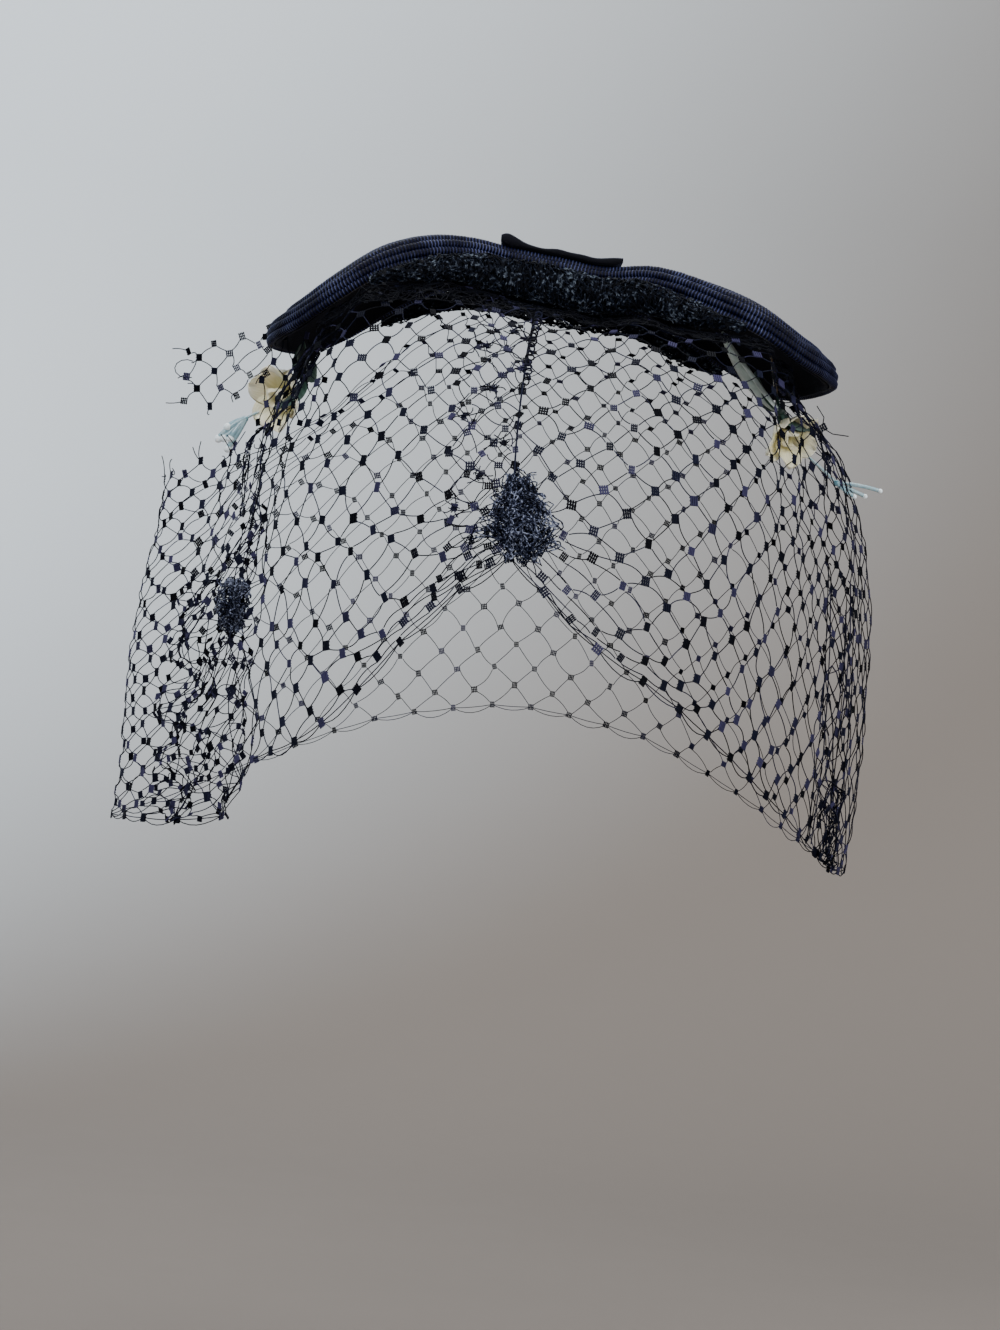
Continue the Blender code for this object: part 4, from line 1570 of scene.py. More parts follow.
@dataclass(frozen=True)
class Gather:
    """The net's crumpled edge along the rim, as a roll of folded layers."""

    facing: Facing
    half_thick: float = 2.0
    threads: int = 600
    top_angle: float = 115.0
    bottom_angle: float = -105.0
    sides: int = 14

    def roll_point(self, u: float, v: float, size: float) -> Vector:
        """Returns a point of the roll.

        Args:
            u: 0 to 1 along the rim.
            v: 0 to 1 round the roll, from its top over its outer face to its bottom.
            size: the share of the roll's full size.

        Returns:
            The point.
        """
        x = blend(-GATHER_END, GATHER_END, u)
        edge, out = HAT.rim_station(x, self.facing)
        lift, height = GATHER_ROWS.at(x, "lift"), GATHER_ROWS.at(x, "height")
        bottom = HAT.crown_height(*edge) - HAT.rim_bottom + lift - height
        angle = math.radians(blend(self.top_angle, self.bottom_angle, v))
        crumple = 0.86 + 0.14 * noise.noise(Vector((x * 0.45, v * 5.0, size * 7.0)))
        taper = 0.55 + 0.45 * eased((GATHER_END - abs(x)) / GATHER_FADE)
        thick = self.half_thick * taper * size
        place = edge + out * (VEIL.gather_out + thick * crumple * math.cos(angle))
        z = bottom + height / 2 + height / 2 * size * crumple * math.sin(angle)
        return Vector((*place, z))

    def core(self) -> Object:
        """Returns the folded mass inside the roll.

        Returns:
            The mass.
        """
        steps, loops = 120, []
        for k in range(steps + 1):
            loop = []
            for turn in range(self.sides):
                v = turn / self.sides * 360.0 / (self.top_angle - self.bottom_angle)
                size = 0.74 + 0.10 * noise.noise(Vector((k * 0.5, turn * 1.3, 2.0)))
                loop.append(self.roll_point(k / steps, v, size))
            loops.append(loop)
        facts = {"tint": [0.15] * (len(loops) * self.sides)}
        return lofted(self.facing.word + "_core", loops, True, facts=facts)

    def build(self, kit: Finishes) -> Object:
        """Returns the gather: its core, layers of squeezed net and loose threads.

        Args:
            kit: the finishes.

        Returns:
            The piece.
        """
        work = ThreadWork(Dice(60 + self.facing.value))
        for layer, (size, shift) in enumerate(((1.0, 0.0), (0.9, 0.4))):

            def place(u: float, v: float, size: float = size, shift: float = shift) -> Vector:
                """One layer of the squeezed net."""
                return self.roll_point(min(max(u + shift * 0.02, 0.0), 1.0), v, size)

            columns = 34 + 3 * layer
            Lattice(place, columns, 3, CRUMPLED_NET.width, 1.0, 0.8, 60.0, 0.8).lay(work)
        for k in range(self.threads):
            skin = partial(self.roll_point, size=0.84 + 0.28 * (k % 7) / 6)
            work.scribble(skin, (0.08, 0.9))
        net = work.build(self.facing.word + "_net", kit.net_tree, kit.crushed, CRUMPLED_NET)
        made = joined(self.facing.word + "_gathered_net", [net, self.core()])
        return publish(made, kit.crushed, [self.facing.word + "_gather"])


BACK_PINCH = Pinch(Vector((-5.8, -99.0, -68.0)), 21.0, 0.62)
SIDE_PINCH = Pinch(Vector((-78.5, -19.0, -94.0)), 15.0, 0.62)


@dataclass(frozen=True)
class Crease:
    """A line across the veil, by azimuth, that draws the rows of cells together."""

    line: Table
    reach: float = 0.075

    def draw_in(self, azimuth: float, drop: float) -> float:
        """Returns the drop moved towards the line, most where it is near.

        Args:
            azimuth: the direction.
            drop: 0 at the hat, 1 at the hem.

        Returns:
            The drawn-in drop.
        """
        if not self.line.keys[0] < azimuth < self.line.keys[-1]:
            return drop
        away = drop - self.line.at(azimuth, "drop")
        pull = self.line.at(azimuth, "pull") * math.exp(-((away / self.reach) ** 2))
        return drop - away * pull


CREASES = tuple(
    Crease(Table("azimuth drop pull", rows))
    for rows in (
        ((-84, 0.70, 0), (-75, 0.70, 0.5), (-50, 0.72, 0.5), (-22, 0.75, 0.5), (-4, 0.86, 0)),
        ((-84, 0.80, 0), (-72, 0.80, 0.5), (-45, 0.86, 0.5), (-18, 0.94, 0.5), (-6, 0.97, 0)),
        ((0, 0.86, 0), (10, 0.83, 0.4), (25, 0.81, 0.5), (46, 0.82, 0.45), (70, 0.84, 0)),
        ((4, 0.97, 0), (20, 0.95, 0.5), (45, 0.93, 0.5), (68, 0.92, 0.4), (84, 0.92, 0)),
    )
)


@dataclass(frozen=True)
class Strip:
    """A part of a panel, by its shares across and down, where a second net lies on it."""

    across: tuple[float, float]
    down: tuple[float, float]
    columns: int
    rows: int
    out: float
    scribbles: int = 0
    spiders: int = 0
    tone: float = 0.0
    scale: float = 0.85
    crumple: float = 0.0


# Parts of the veil by azimuth: the first, the last, and how much it rises and falls over.
TEMPLE = (-104.0, -54.0, 10.0, 12.0)
TIP = (56.0, 126.0, 14.0, 14.0)
FACE = (108.0, 232.0, 20.0, 20.0)
SIDE_FOLD, SIDE_FOLD_REACH = -84.0, 18.0
LOOSE_FIRST, LOOSE_LAST = -140.0, -90.0
# The pleats in a full turn, and how deep each kind of fold is, in millimetres.
PLEATS = 26.0
PLEAT_DEPTH = 1.5
SLACK_DEPTH = 1.3
SIDE_FOLD_DEPTH = 1.5
LUMP_DEPTH = 8.0
TIP_DEPTH = 5.5
# The hem's scallops hang by this much, give or take, and its straight thread by a share.
SCALLOP, SCALLOP_SPREAD, STRAIGHT_SHARE = 1.9, 0.7, 0.15


def net_sheet(
    work: ThreadWork,
    kit: Finishes,
    name: str,
    node: str,
    flat: tuple[float, float],
) -> Object:
    """Returns a finished sheet of net.

    Args:
        work: its threads and blocks.
        kit: the finishes.
        name: the object's name.
        node: the solid that it replaces.
        flat: its width and length before it was gathered, in metres; not used.

    Returns:
        The piece.
    """
    made = publish(work.build(name, kit.net_tree, kit.net, OPEN_NET), kit.net, [node])
    wide, tall = flat
    return made


@dataclass(frozen=True)
class VeilPanel:
    """A panel of the veil between two azimuths, in block net at its real size."""

    node: str
    start: float
    end: float
    columns: int
    rows: int
    flat: tuple[float, float]
    seed: int
    strips: tuple[Strip, ...]
    free_edge: bool = False
    seamed: bool = False
    strays: tuple[tuple[Vector, ...], ...] = ()

    def place(self, u: float, v: float) -> Vector:
        """Returns a point of the panel, with its folds and the pinches drawn in.

        Args:
            u: 0 to 1 across.
            v: 0 to 1 down.

        Returns:
            The point.
        """
        azimuth = blend(self.start, self.end, u)
        turned = wrapped(azimuth)
        behind = math.exp(-(((turned + 2.5) / 28.0) ** 2))
        drop = 1 - (1 - v) ** blend(1.12, 1.5, behind)
        for crease in CREASES:
            drop = crease.draw_in(turned, drop)
        point = VEIL.point(azimuth, drop, self.free_edge)
        out = outward(azimuth)
        pleat = math.sin(math.radians(azimuth) * PLEATS) * (1 - drop) ** 1.6
        slack = noise.noise(Vector((azimuth * 0.045, drop * 3.0, self.seed)))
        near = eased(1 - abs(turned - SIDE_FOLD) / SIDE_FOLD_REACH)
        fold = near * eased(drop * 2.2 - 0.3) * math.sin(turned * 1.25)
        free = eased(min(u, 1 - u) * self.columns / 1.5)
        depth = PLEAT_DEPTH * pleat + SLACK_DEPTH * slack + SIDE_FOLD_DEPTH * fold
        point += out * (free * depth)
        temple = between(turned, *TEMPLE) * eased(drop * 2.0 - 0.5)
        lumps = noise.noise(Vector((turned * 0.12, drop * 8.0, 4.0)))
        point += out * (temple * LUMP_DEPTH * lumps)
        if turned > 0 or not self.free_edge:
            tip = between(abs(turned), *TIP) * eased(1 - drop / 0.28)
            point -= out * (tip * TIP_DEPTH)
        if abs(turned) < 60.0:
            point = BACK_PINCH.draw_in(point)
        elif turned < 0:
            point = SIDE_PINCH.draw_in(point)
        return point

    def downward(self, u: float) -> Vector:
        """Returns the panel's direction down at its hem, a share of the way across."""
        return (self.place(u, 1.0) - self.place(u, 0.99)).normalized()

    def fineness(self, u: float) -> float:
        """Returns the share of the usual thickness that the net has, less over the face."""
        return 1 - 0.20 * between(blend(self.start, self.end, u), *FACE)

    def build(self, kit: Finishes) -> Object:
        """Returns the panel, with the scalloped thread of its hem.

        Args:
            kit: the finishes.

        Returns:
            The piece.
        """
        work = ThreadWork(Dice(self.seed))
        net = Lattice(self.place, self.columns, self.rows, fineness=self.fineness)
        blocks = net.lay(work)
        hem = [k for k in sorted(blocks) if k[1] == 2 * self.rows]
        for one, two in zip(hem, hem[1:]):
            middle = (one[0] + two[0]) / 4 / self.columns
            sag = SCALLOP + work.dice.spread(SCALLOP_SPREAD)
            bow = self.downward(middle) * sag
            fine = self.fineness(middle)
            work.bowed(blocks[one], blocks[two], bow, 6, fine)
            work.bowed(blocks[one], blocks[two], bow * STRAIGHT_SHARE, 4, fine)
        for strip in self.strips:
            self.double(work, strip)
        if self.free_edge:
            self.cut_ends(work, blocks)
        if self.seamed:
            self.seam(work)
            self.shoulder(work)
        for path in self.strays:
            work.block(path[0], Vector((1.0, 0.0, 0.6)), Vector((0.0, -1.0, 0.0)))
            work.thread(path)
        return net_sheet(work, kit, self.node + "_net", self.node, self.flat)

    def seam(self, work: ThreadWork) -> None:
        """Adds the seam's cord down the panel's last edge, stitched over at its top.

        Args:
            work: the threads so far.
        """
        for first, last, thick in ((0.0, 0.3, 2.9), (0.28, 0.72, 1.8)):
            shares = [blend(first, last, k / 12) for k in range(13)]
            work.thread([self.place(1.0, v) + Vector((0, -0.5, 0)) for v in shares], thick)
        for k in range(20):
            wide, tall = 1.0 + work.dice.spread(0.3), 0.8 + work.dice.spread(0.3)
            middle = self.place(1.0, 0.03 + 0.016 * k) + Vector((0.7, -0.7, 0.0))
            stitch = [
                middle + Vector((wide * math.cos(t), 0.3 * math.sin(2 * t), tall * math.sin(t)))
                for t in (math.radians(40.0 * step) for step in range(10))
            ]
            work.thread(stitch, 1.5)

    def double(self, work: ThreadWork, strip: Strip) -> None:
        """Lays a strip's second net, with its loose threads and sewn knots.

        Args:
            work: the threads so far.
            strip: where it lies.
        """
        (left, right), (top, bottom) = strip.across, strip.down

        def over(u: float, v: float) -> Vector:
            """The strip's part of the panel, lifted a little.

            Args:
                u: 0 to 1 across the strip.
                v: 0 to 1 down it.

            Returns:
                The point.
            """
            across = blend(left, right, u)
            lump = strip.crumple * noise.noise(Vector((u * 2.4, v * 9.0, strip.rows)))
            lift = outward(blend(self.start, self.end, across)) * (strip.out + lump)
            return self.place(across, blend(top, bottom, v)) + lift

        net = Lattice(
            over, strip.columns, strip.rows, scale=strip.scale, stray=1.1, wobble=30.0, bow=0.8
        )
        work.tone = strip.tone
        net.lay(work)
        for _ in range(strip.scribbles):
            work.scribble(over, (1.6 / strip.columns, 0.9), 5)
        for k in range(strip.spiders):
            u, v = (0.1 + 0.618 * k) % 1.0, 0.08 + 0.9 * k / strip.spiders
            across = over(min(u + 0.1, 1.0), v) - over(max(u - 0.1, 0.0), v)
            work.spider(over(u, v), across, over(u, v + 0.03) - over(u, v), 3.4)
        work.tone = 0.0

    def shoulder(self, work: ThreadWork) -> None:
        """Adds the crushed fold that runs from under the wing's tip down to the temple.

        Args:
            work: the threads so far.
        """
        path = Table(
            "share x y z",
            (
                (0.0, -58.0, -17.0, -13.0), (0.10, -62.2, -15.0, -17.5),
                (0.37, -70.0, -12.0, -31.4), (0.52, -75.2, -9.0, -38.8),
                (0.65, -81.2, -7.0, -44.5), (0.81, -82.3, -7.0, -54.0),
                (1.0, -83.0, -7.0, -66.0),
            ),
        )

        def fold(u: float, v: float) -> Vector:
            """A point of the fold, u across it and v down it.

            Args:
                u: 0 to 1 across.
                v: 0 to 1 down.

            Returns:
                The point.
            """
            wide = blend(0.8, 2.0, eased(2.0 * abs(v - 0.42))) * (u - 0.5)
            middle = Vector([path.at(v, axis) for axis in "xyz"])
            return middle + Vector((wide * 0.85, 1.5 * math.sin(9.0 * v), wide * 0.5))

        Lattice(fold, 1, 9, scale=0.5, stray=0.7, wobble=40.0, bow=1.0).lay(work)
        loose = 36
        for _ in range(loose):
            work.scribble(fold, (0.8, 0.16), 5)

    def cut_ends(self, work: ThreadWork, blocks: dict[tuple[int, int], Vector]) -> None:
        """Adds the snipped threads that stand out along the loose upper edge.

        Args:
            work: the threads so far.
            blocks: the panel's blocks, by row and column.
        """
        for (i, j), here in blocks.items():
            azimuth = blend(self.start, self.end, i / (2 * self.columns))
            if j > 0 or not LOOSE_FIRST < wrapped(azimuth) < LOOSE_LAST:
                continue
            dice = work.dice
            for _ in range(2):
                tip = Vector((dice.spread(4.0), dice.spread(2.0), 3.6 + dice.spread(3.4)))
                work.bowed(here, here + tip, dice.offset(0.9))


@dataclass(frozen=True)
class Flap:
    """The loose corner of net that stands out from the left tip."""

    columns: int = 3
    rows: int = 2
    outline: Table = Table(
        "share x y top_z bottom_z",
        (
            (0.0, -79.35, 1.0, -12.2, -25.0), (0.5, -91.0, 4.0, -16.5, -34.5),
            (1.0, -102.5, 8.0, -20.0, -34.0),
        ),
    )

    def place(self, u: float, v: float) -> Vector:
        """Returns a point of the flap, u outwards and v down.

        Args:
            u: 0 to 1 outwards.
            v: 0 to 1 down.

        Returns:
            The point.
        """
        x, y, top, bottom = (self.outline.at(u, n) for n in ("x", "y", "top_z", "bottom_z"))
        ripple = 1.2 * math.sin(u * 7.0 + v * 2.0)
        return Vector((x, y + ripple, blend(top, bottom, v)))

    def over_flower(self, u: float, v: float) -> Vector:
        """Returns a point of the net that joins the flap to the veil over the flower."""
        return Vector((blend(-80.5, -62.0, u), blend(1.0, -14.0, u), blend(-15.0, -39.0, v)))

    def build(self, kit: Finishes) -> Object:
        """Returns the flap, with snipped ends along its free edges.

        Args:
            kit: the finishes.

        Returns:
            The piece.
        """
        work = ThreadWork(Dice(7))
        size = self.columns, self.rows
        blocks = Lattice(self.place, *size, scale=0.85, stray=1.1, wobble=16.0, bow=0.7).lay(work)
        dice = work.dice
        for (i, j), here in blocks.items():
            outer, lowest = i > 2 * self.columns - 2, j == 2 * self.rows
            if outer or lowest:
                way = Vector((-3.6, 0.0, 0.0)) if outer else Vector((-1.0, 0.0, -2.6))
                tip = here + way + dice.offset(1.6)
                work.bowed(here, tip, dice.offset(0.9))
        Lattice(self.over_flower, *size, scale=0.8, stray=1.2, wobble=20.0, bow=0.8).lay(work)
        far = self.place(1.0, 0.35)
        loop = [
            far + Vector((-3.4 * math.sin(t * 0.52), 0.0, 2.6 * math.cos(t * 0.52)))
            for t in range(-1, 8)
        ]
        work.thread(loop)
        return net_sheet(work, kit, "flap_net", "veil_flap", (0.050, 0.018))


@dataclass(frozen=True)
class Tangle:
    """A knot of net drawn together and stitched, over a dark heart."""

    node: str
    azimuth: float
    drop: float
    half_width: float
    half_height: float
    half_depth: float
    clear: float
    seed: int
    curls: int
    top_share: float
    lean: float
    heart: float
    sides: int = 20
    rings: int = 12

    def frame(self) -> tuple[Vector, Vector, Vector, Vector]:
        """Returns the knot's middle and its axes: across, up and out.

        Returns:
            The middle, across, up and out.
        """
        middle = VEIL.point(self.azimuth, self.drop)
        out = outward(self.azimuth)
        across = Vector((-out.y, out.x, 0.0))
        up = (middle - VEIL.point(self.azimuth, self.drop + 0.05)).normalized()
        out = (out - up * out.dot(up)).normalized()
        return middle + out * (0.6 + self.clear + self.half_depth), across, up, out

    def skin(self, u: float, v: float, size: float, shift: float = 0.0) -> Vector:
        """Returns a point on the knot: u round it and v from its top to its bottom.

        Args:
            u: 0 to 1 round it.
            v: 0 to 1 down it.
            size: the layer's share of the size.
            shift: how far round the layer is turned.

        Returns:
            The point.
        """
        middle, across, up, out = self.frame()
        v = min(max(v, 0.0), 1.0)
        wide = blend(self.top_share, 1.0, eased(v / 0.5))
        if v > 0.62:
            wide = blend(1.0, 0.5, eased((v - 0.62) / 0.38))
        turn = (u + shift) * math.tau
        way = Vector((math.cos(turn), 2.0 * v - 1.0, math.sin(turn)))
        lump = noise.noise(way * 2.6 + Vector((self.seed, 0, 0)))
        crumple = size * (0.88 + 0.55 * lump)
        depth = self.half_depth * math.sqrt(max(1.0 - 0.9 * way.y * way.y, 0.0))
        return (
            middle
            + across * (way.x * self.half_width * wide * crumple + self.lean * way.y)
            - up * (way.y * self.half_height * (0.7 + 0.3 * size + 0.15 * lump))
            + out * (way.z * depth * crumple)
        )

    def build(self, kit: Finishes) -> Object:
        """Returns the knot: layers of small cells, and curls of thread over a heart.

        Args:
            kit: the finishes.

        Returns:
            The piece.
        """
        work = ThreadWork(Dice(self.seed))
        for size, shift in ((1.0, 0.0), (0.84, 0.13)):
            place = partial(self.skin, size=size, shift=shift)
            Lattice(place, 7, 4, CRUMPLED_NET.width, 0.8, 0.9, 60.0, 0.9).lay(work)
        for k in range(self.curls):
            size = self.heart + (1.3 - self.heart) * ((k % 9) / 8) ** 1.3
            work.scribble(partial(self.skin, size=size), (0.16, 0.34))
        dice = work.dice
        for _ in range(self.curls // 9):
            u, v = dice.share(), dice.share()
            end = self.skin(u, v, 1.25 + 0.45 * dice.share()) + dice.offset(0.9)
            work.bowed(self.skin(u, v, 0.8), end, dice.offset(1.4), 4)
        net = work.build(self.node + "_threads", kit.net_tree, kit.pinched, CRUMPLED_NET)
        rounds = [turn / self.sides for turn in range(self.sides)]
        downs = [(k + 0.5) / self.rings for k in range(self.rings)]
        loops = [[self.skin(u, v, self.heart) for u in rounds] for v in downs]
        facts = {"tint": [0.1] * (self.sides * self.rings)}
        heart = lofted(self.node + "_heart", loops, True, facts=facts)
        made = joined(self.node + "_net", [net, heart])
        return publish(made, kit.pinched, [self.node])


# ---- the flowers


def leaning(tilt: float, turn: float) -> Matrix:
    """Returns the turn that leans +Z over by tilt towards -Y, then turns it about +Z."""
    return Euler((math.radians(tilt), 0.0, math.radians(turn))).to_matrix()


@dataclass(frozen=True)
class Blade:
    """A thin petal or leaf along +Z, with a cupped width and a curled, ruffled end."""

    length: float
    width: float
    thick: float
    cup: float
    curl: float
    widest: float
    ruffle: float
    seed: int
    rounding: float = 1.7

    def build(self, name: str, origin: Vector, turned: Matrix) -> Object:
        """Returns the blade at its place; it stores along and across on its points.

        Args:
            name: the object's name.
            origin: its root.
            turned: the way it points.

        Returns:
            The blade.
        """
        loops, along, across = [], [], []
        steps, sides = 16, 9
        for k in range(steps + 1):
            share = k / steps
            fullness = 1 - abs(2 * share**self.widest - 1) ** self.rounding
            half = self.width / 2 * max(math.sqrt(fullness), 0.12)
            lower, upper = [], []
            for s in range(sides):
                a = 2 * s / (sides - 1) - 1
                waver = noise.noise(Vector((a * 1.6, share * 2.4, self.seed)))
                y = self.curl * share * share - self.cup * a * a * half / self.width
                y += self.ruffle * waver * share
                wall = self.thick / 2 * (1 - 0.6 * a * a)
                spot = Vector((a * half, y, self.length * (share + 0.03 * waver)))
                lower.append(origin + turned @ (spot - Vector((0, wall, 0))))
                upper.append(origin + turned @ (spot + Vector((0, wall, 0))))
            loops.append(lower + upper[::-1])
            signs = [2 * s / (sides - 1) - 1 for s in range(sides)]
            across += signs + signs[::-1]
            along += [share] * (2 * sides)
        return lofted(name, loops, True, facts={"along": along, "across": across})


def rounded(name: str, centre: Vector, radius: float, along: float) -> Object:
    """Returns a slightly uneven bead; along says how far towards a tip it is.

    Args:
        name: the object's name.
        centre: its middle.
        radius: in millimetres.
        along: 0 at a root, 1 at a tip.

    Returns:
        The bead.
    """
    work = bmesh.new()
    bmesh.ops.create_icosphere(work, subdivisions=3, radius=radius * MM)
    layers = [work.verts.layers.float.new(key) for key in ("along", "across")]
    for vert in work.verts:
        vert.co *= 1 + 0.12 * noise.noise(vert.co / (radius * MM) * 1.4 + centre)
        vert.co += centre * MM
        vert[layers[0]] = along
        vert[layers[1]] = 0.3
    return smooth_object(name, work)


def stem(
    name: str, path: list[Vector], radius: float, kit: Finishes, along: float = 0.35
) -> Object:
    """Returns a thin wire or stem; along says where on a petal its colour is from.

    Args:
        name: the object's name.
        path: its points.
        radius: in millimetres.
        kit: the finishes.
        along: 0 at a root, 1 at a tip.

    Returns:
        The stem.
    """
    made = sweep(name, [Cord(path, [radius] * len(path))], kit, kit.petal)
    count = len(made.data.vertices)
    for key in ("along", "across"):
        layer = made.data.attributes.new(key, "FLOAT", "POINT")
        layer.data.foreach_set("value", [along] * count)
    return made


@dataclass(frozen=True)
class Blossom:
    """A cupped flower under a wing's tip."""

    side: Side
    middle: Vector
    tilt: float
    turn: float
    stem_end: Vector
    petal: tuple[float, float] = (11.2, 7.8)

    def build(self, kit: Finishes) -> list[Object]:
        """Returns the flower: outer and inner petals, a heart and its stem.

        Args:
            kit: the finishes.

        Returns:
            The pieces.
        """
        lean = leaning(self.tilt, self.turn)
        parts = [rounded("heart", self.middle + lean @ Vector((0, 0, 1.2)), 2.3, -0.1)]
        long, wide = self.petal
        for ring, (count, size, opened) in enumerate(((6, 1.0, -55.0), (4, 0.62, -36.0))):
            for k in range(count):
                turn = math.tau * (k + 0.5 * ring) / count + 0.07 * k
                around = Euler((0.0, 0.0, turn)).to_matrix()
                lay = Euler((math.radians(opened - 4.0 * (k % 3)), 0.0, 0.0)).to_matrix()
                form = {"cup": 3.4, "curl": -2.2, "widest": 1.15, "ruffle": 2.2, "rounding": 2.3}
                blade = Blade(long * size, wide * size, 0.5, seed=k + 9 * ring, **form)
                parts.append(blade.build("petal", self.middle, lean @ around @ lay))
        path = curved(self.middle, self.stem_end, Vector((0.2, 0.2, 0.0)))
        parts.append(stem("stem", path, 0.5, kit, -0.3))
        made = joined(self.side.word + "_flower", parts)
        return [publish(made, kit.petal, [self.side.word + "_blossom"])]


@dataclass(frozen=True)
class LeafBunch:
    """Leaves that grow from one binding, wired to the flower's stem."""

    side: Side
    binding: Vector
    wire: float
    leaves: tuple[tuple[float, float, float, float], ...]
    flower: Blossom
    longest_dark: float = 20.0

    def build(self, kit: Finishes) -> list[Object]:
        """Returns the dark leaves, and the pale one where the bunch has it.

        Args:
            kit: the finishes.

        Returns:
            The pieces.
        """
        name = self.side.word
        stem_middle = self.flower.middle.lerp(self.flower.stem_end, 0.5)
        wire_end = self.binding + (stem_middle - self.binding).normalized() * self.wire
        path = curved(self.binding, wire_end, Vector((0.0, 0.0, -0.3)))
        wire = stem("wire", path, 0.5, kit)
        dark = [rounded("binding", self.binding, 1.5, 0.2), wire]
        pale = []
        for k, (length, width, tilt, turn) in enumerate(self.leaves):
            form = {"cup": 5.0, "curl": 2.0, "widest": 0.85, "ruffle": 1.0}
            leaf = Blade(length, width * 0.8, 0.45, seed=31 + k, **form)
            made = leaf.build("leaf", self.binding, leaning(tilt, turn))
            (pale if length > self.longest_dark else dark).append(made)
        whole = joined(name + "_dark_leaves", dark)
        pieces = [publish(whole, kit.leaf, [name + "_leaves"])]
        if pale:
            whole = joined(name + "_pale_leaf", pale)
            pieces.append(publish(whole, kit.mint, []))
        return pieces


@dataclass(frozen=True)
class Spray:
    """Dipped stamens spread from one binding."""

    side: Side
    start: Vector
    tilt: float
    turn: float
    wire: float
    length: float
    flower: Blossom
    count: int
    thick: float
    fan: float

    def build(self, kit: Finishes) -> list[Object]:
        """Returns the spray: stems, heads and the binding wire.

        Args:
            kit: the finishes.

        Returns:
            The pieces.
        """
        lean = leaning(self.tilt, self.turn)
        back = (self.flower.middle - self.start).normalized()
        path = curved(self.start, self.start + back * self.wire, Vector((0.0, 0.0, 0.2)))
        wire = stem("wire", path, 0.4, kit)
        parts = [rounded("binding", self.start, 0.9, 0.2), wire]
        dice = Dice(80 + self.side.value)
        for k in range(self.count):
            spread = math.radians(self.fan * (2 * k / (self.count - 1) - 1))
            sway = math.radians(8.0 * math.sin(2.3 * k))
            length = self.length * (0.75 + 0.25 * math.cos(1.7 * k))
            way = lean @ Vector((math.sin(sway), math.sin(spread), math.cos(spread)))
            end = self.start + way.normalized() * length
            route = curved(self.start, end, dice.offset(0.5))
            parts.append(stem("stamen", route, self.thick, kit, 0.32))
            parts.append(rounded("head", end, self.thick * 1.3, 0.95))
        made = joined(self.side.word + "_spray", parts)
        return [publish(made, kit.stamen, [self.side.word + "_stamens"])]


# ---- the studio


@dataclass(frozen=True)
class Studio:
    """The camera, the soft lights and the pale sweep behind the part."""

    distance: float = 0.8
    aim_x: float = -0.0078
    aim_z: float = -0.1013
    roll: float = 4.5
    lens: float = 77.6
    sensor: float = 36.0
    floor_z: float = -0.30
    front_y: float = -2.2
    wall_y: float = 0.75
    wall_height: float = 2.6
    half_width: float = 2.4
    bend_radius: float = 0.45
    bend_steps: int = 16

    def camera(self) -> None:
        """Adds the camera, level and rolled a little."""
        data = bpy.data.cameras.new("camera")
        data.lens = self.lens
        data.sensor_width = self.sensor
        made = linked("camera", data)
        roll = math.radians(self.roll)
        right = Vector((math.cos(roll), 0.0, math.sin(roll)))
        up = Vector((-math.sin(roll), 0.0, math.cos(roll)))
        back = right.cross(up)
        axes = Matrix((right, up, back)).transposed().to_4x4()
        made.matrix_world = Matrix.Translation((self.aim_x, -self.distance, self.aim_z)) @ axes
        bpy.context.scene.camera = made

    def light(
        self, name: str, place: Vector, target: Vector, size: float, power: float, warm: float
    ) -> None:
        """Adds a square soft light that points at a target.

        Args:
            name: the light's name.
            place: where it stands.
            target: where it points.
            size: its side.
            power: in watts.
            warm: 0 for white, 1 for warm.
        """
        data = bpy.data.lights.new(name, "AREA")
        data.size = size
        data.energy = power
        data.color = (1.0, 1.0 - 0.04 * warm, 1.0 - 0.10 * warm)
        made = linked(name, data)
        made.location = place
        made.rotation_euler = (target - place).to_track_quat("-Z", "Y").to_euler()

    def sweep(self) -> None:
        """Adds the floor and the wall as one curved sheet."""
        profile = [Vector((0.0, self.front_y, self.floor_z))]
        radius = self.bend_radius
        centre = Vector((0.0, self.wall_y - radius, self.floor_z + radius))
        for k in range(self.bend_steps + 1):
            angle = math.radians(blend(-90.0, 0.0, k / self.bend_steps))
            profile.append(centre + Vector((0, math.cos(angle), math.sin(angle))) * radius)
        profile.append(Vector((0.0, self.wall_y, self.floor_z + self.wall_height)))
        work = bmesh.new()
        rows = [
            [work.verts.new(p + Vector((x, 0.0, 0.0))) for p in profile]
            for x in (-self.half_width, self.half_width)
        ]
        for k in range(len(profile) - 1):
            work.faces.new((rows[0][k], rows[1][k], rows[1][k + 1], rows[0][k + 1]))
        made = smooth_object("sweep", work)
        made.data.materials.append(FloorFinish().build())

    def world(self) -> None:
        """Gives the room an even grey light."""
        room = bpy.data.worlds.new("room")
        room.use_nodes = True
        sky = room.node_tree.nodes["Background"]
        sky.inputs["Color"].default_value = (0.86, 0.90, 0.96, 1.0)
        sky.inputs["Strength"].default_value = 0.55
        bpy.context.scene.world = room

    def build(self) -> None:
        """Adds everything."""
        self.camera()
        self.sweep()
        self.world()
        aim = Vector((0.0, 0.0, -0.06))
        self.light("key", Vector((-0.7, -1.0, 0.9)), aim, 0.9, 22.0, 0.2)
        self.light("fill", Vector((1.1, -0.9, 0.2)), aim, 1.2, 22.0, 0.4)
        self.light("top", Vector((0.0, 0.25, 1.1)), aim, 0.8, 12.0, 0.0)


# ---- the whole


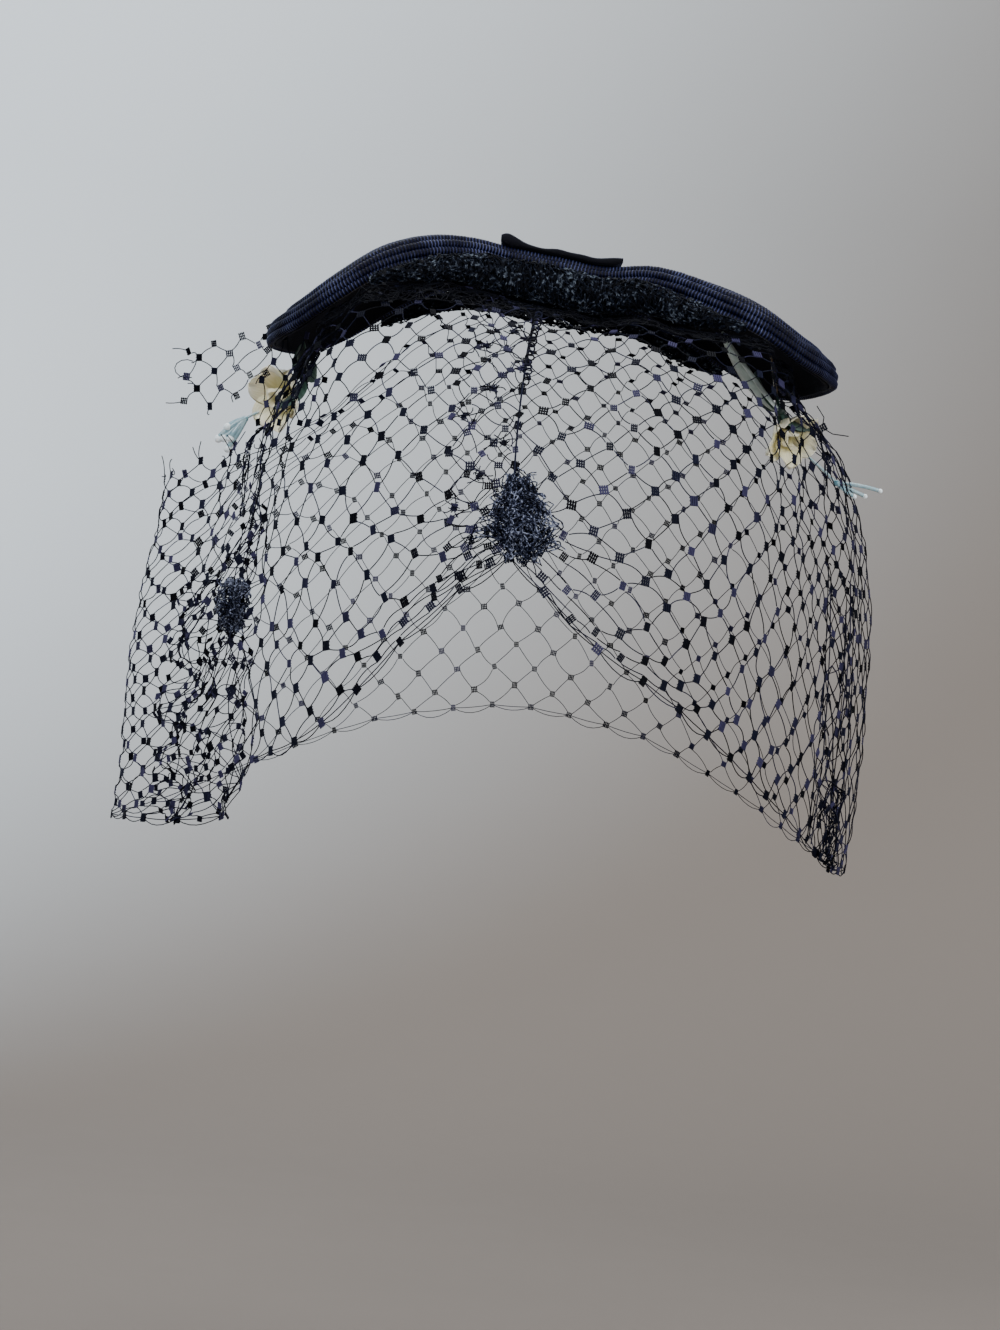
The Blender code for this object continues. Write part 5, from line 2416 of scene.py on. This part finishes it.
def flowers() -> Iterator[Blossom | LeafBunch | Spray]:
    """Yields both sides' flowers, leaves and stamens.

    Yields:
        Each flower, bunch or spray.
    """
    where, end = Vector((-72.8, 17.0, -29.2)), Vector((-72.5, 17.6, -17.6))
    left = Blossom(Side.LEFT, where, tilt=105.0, turn=-40.0, stem_end=end, petal=(12.8, 9.2))
    where, end = Vector((66.0, 11.0, -29.2)), Vector((61.0, 8.0, -5.6))
    right = Blossom(Side.RIGHT, where, tilt=113.0, turn=34.0, stem_end=end)
    yield left
    yield right
    leaves = (10.0, 5.5, 20.0, -30.0), (13.0, 6.0, 145.0, -60.0), (10.0, 5.0, 60.0, 170.0)
    yield LeafBunch(Side.LEFT, Vector((-69.0, 9.0, -25.0)), 8.5, leaves, left)
    leaves = (11.0, 5.0, 122.0, 112.0), (13.0, 6.0, 48.0, -75.0), (31.0, 4.8, 56.0, -50.0)
    yield LeafBunch(Side.RIGHT, Vector((65.0, 5.0, -24.0)), 6.0, leaves, right)
    size = {"wire": 4.5, "length": 9.8, "count": 7, "thick": 0.9, "fan": 17.0}
    where = Vector((-85.8, 18.2, -37.0))
    yield Spray(Side.LEFT, where, tilt=137.0, turn=-90.0, flower=left, **size)
    size = {"wire": 14.0, "length": 12.6, "count": 3, "thick": 0.55, "fan": -14.0}
    where = Vector((83.2, 12.5, -42.4))
    yield Spray(Side.RIGHT, where, tilt=110.0, turn=90.0, flower=right, **size)


def veil() -> Iterator[VeilPanel | Flap | Tangle]:
    """Yields the pieces of the veil.

    Yields:
        Each panel, flap or knot.
    """
    seam, side = -3.6, 88.0
    strips = (
        # The crushed band under the wing's rim: its tone of -0.6 paints the thread darker, as
        # painted shade.
        Strip((0.0, 1.0), (0.0, 0.085), 20, 2, 0.8, scribbles=230, tone=-0.6, scale=0.5),
        Strip((0.87, 1.0), (0.02, 0.92), 2, 11, 0.5, spiders=12),
        Strip((0.0, 0.15), (0.45, 1.0), 3, 14, 0.8, scale=0.75, crumple=7.0),
    )
    size = {"columns": 11, "rows": 11, "flat": (0.140, 0.150)}
    yield VeilPanel("veil_back_left", -side, seam, seed=11, strips=strips, seamed=True, **size)
    strips = (
        # The crushed band under the wing's rim: its tone of -0.6 paints the thread darker, as
        # painted shade.
        Strip((0.0, 1.0), (0.0, 0.06), 22, 2, 0.8, scribbles=210, tone=-0.6, scale=0.5),
        Strip((0.86, 1.0), (0.50, 1.0), 2, 6, 0.8, scribbles=16),
        Strip((0.92, 1.0), (0.86, 1.0), 2, 2, 0.8, scribbles=34, scale=0.7, crumple=4.0),
    )
    strays = (
        (Vector((77.0, 3.0, -28.0)), Vector((80.0, 3.0, -29.5)), Vector((84.5, 3.0, -29.8))),
        (Vector((77.0, 3.0, -28.0)), Vector((77.2, 3.0, -25.0)), Vector((75.0, 3.0, -22.0))),
        (Vector((79.0, 2.0, -37.0)), Vector((77.2, 3.0, -33.0)), Vector((77.0, 3.0, -28.0))),
    )
    size = {"columns": 12, "rows": 11, "flat": (0.150, 0.150)}
    yield VeilPanel("veil_back_right", seam, side, seed=12, strips=strips, strays=strays, **size)
    strips = (Strip((0.94, 1.0), (0.36, 1.0), 3, 13, 1.5, scale=0.75, crumple=7.0),)
    size = {"columns": 31, "rows": 11, "flat": (0.375, 0.130), "free_edge": True}
    yield VeilPanel("veil_front", side, 360.0 - side, seed=13, strips=strips, **size)
    yield Flap()
    size = {"half_width": 7.3, "half_height": 10.4, "half_depth": 4.0, "top_share": 0.36}
    size |= {"clear": -0.8, "curls": 520, "lean": 1.2, "heart": 0.45}
    yield Tangle("back_pinch", azimuth=-1.7, drop=0.872, seed=21, **size)
    size = {"half_width": 8.0, "half_height": 6.8, "half_depth": 4.0, "top_share": 0.8}
    size |= {"clear": -1.0, "curls": 210, "lean": 1.0, "heart": 0.22}
    yield Tangle("side_pinch", azimuth=-74.0, drop=0.722, seed=22, **size)


def pieces(kit: Finishes) -> Iterator[Object]:
    """Yields the dressed pieces, one after another.

    Args:
        kit: the materials and recipes.

    Yields:
        Each finished object.
    """
    for side in Side:
        yield Wing(side).build(kit)
        yield Lining(side).build(kit)
    yield Knot().build(kit)
    for facing in Facing:
        yield Gather(facing).build(kit)
    for part in veil():
        yield part.build(kit)
    for part in flowers():
        yield from part.build(kit)


def main() -> None:
    """Builds the dressed part and its studio, and reports each piece."""
    logging.basicConfig(level=logging.INFO, format="%(name)s: %(message)s")
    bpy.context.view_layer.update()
    for made in pieces(Finishes()):
        LOG.info("%s, %d faces", made.name, len(made.data.polygons))
    Studio().build()


if __name__ == "__main__":
    main()
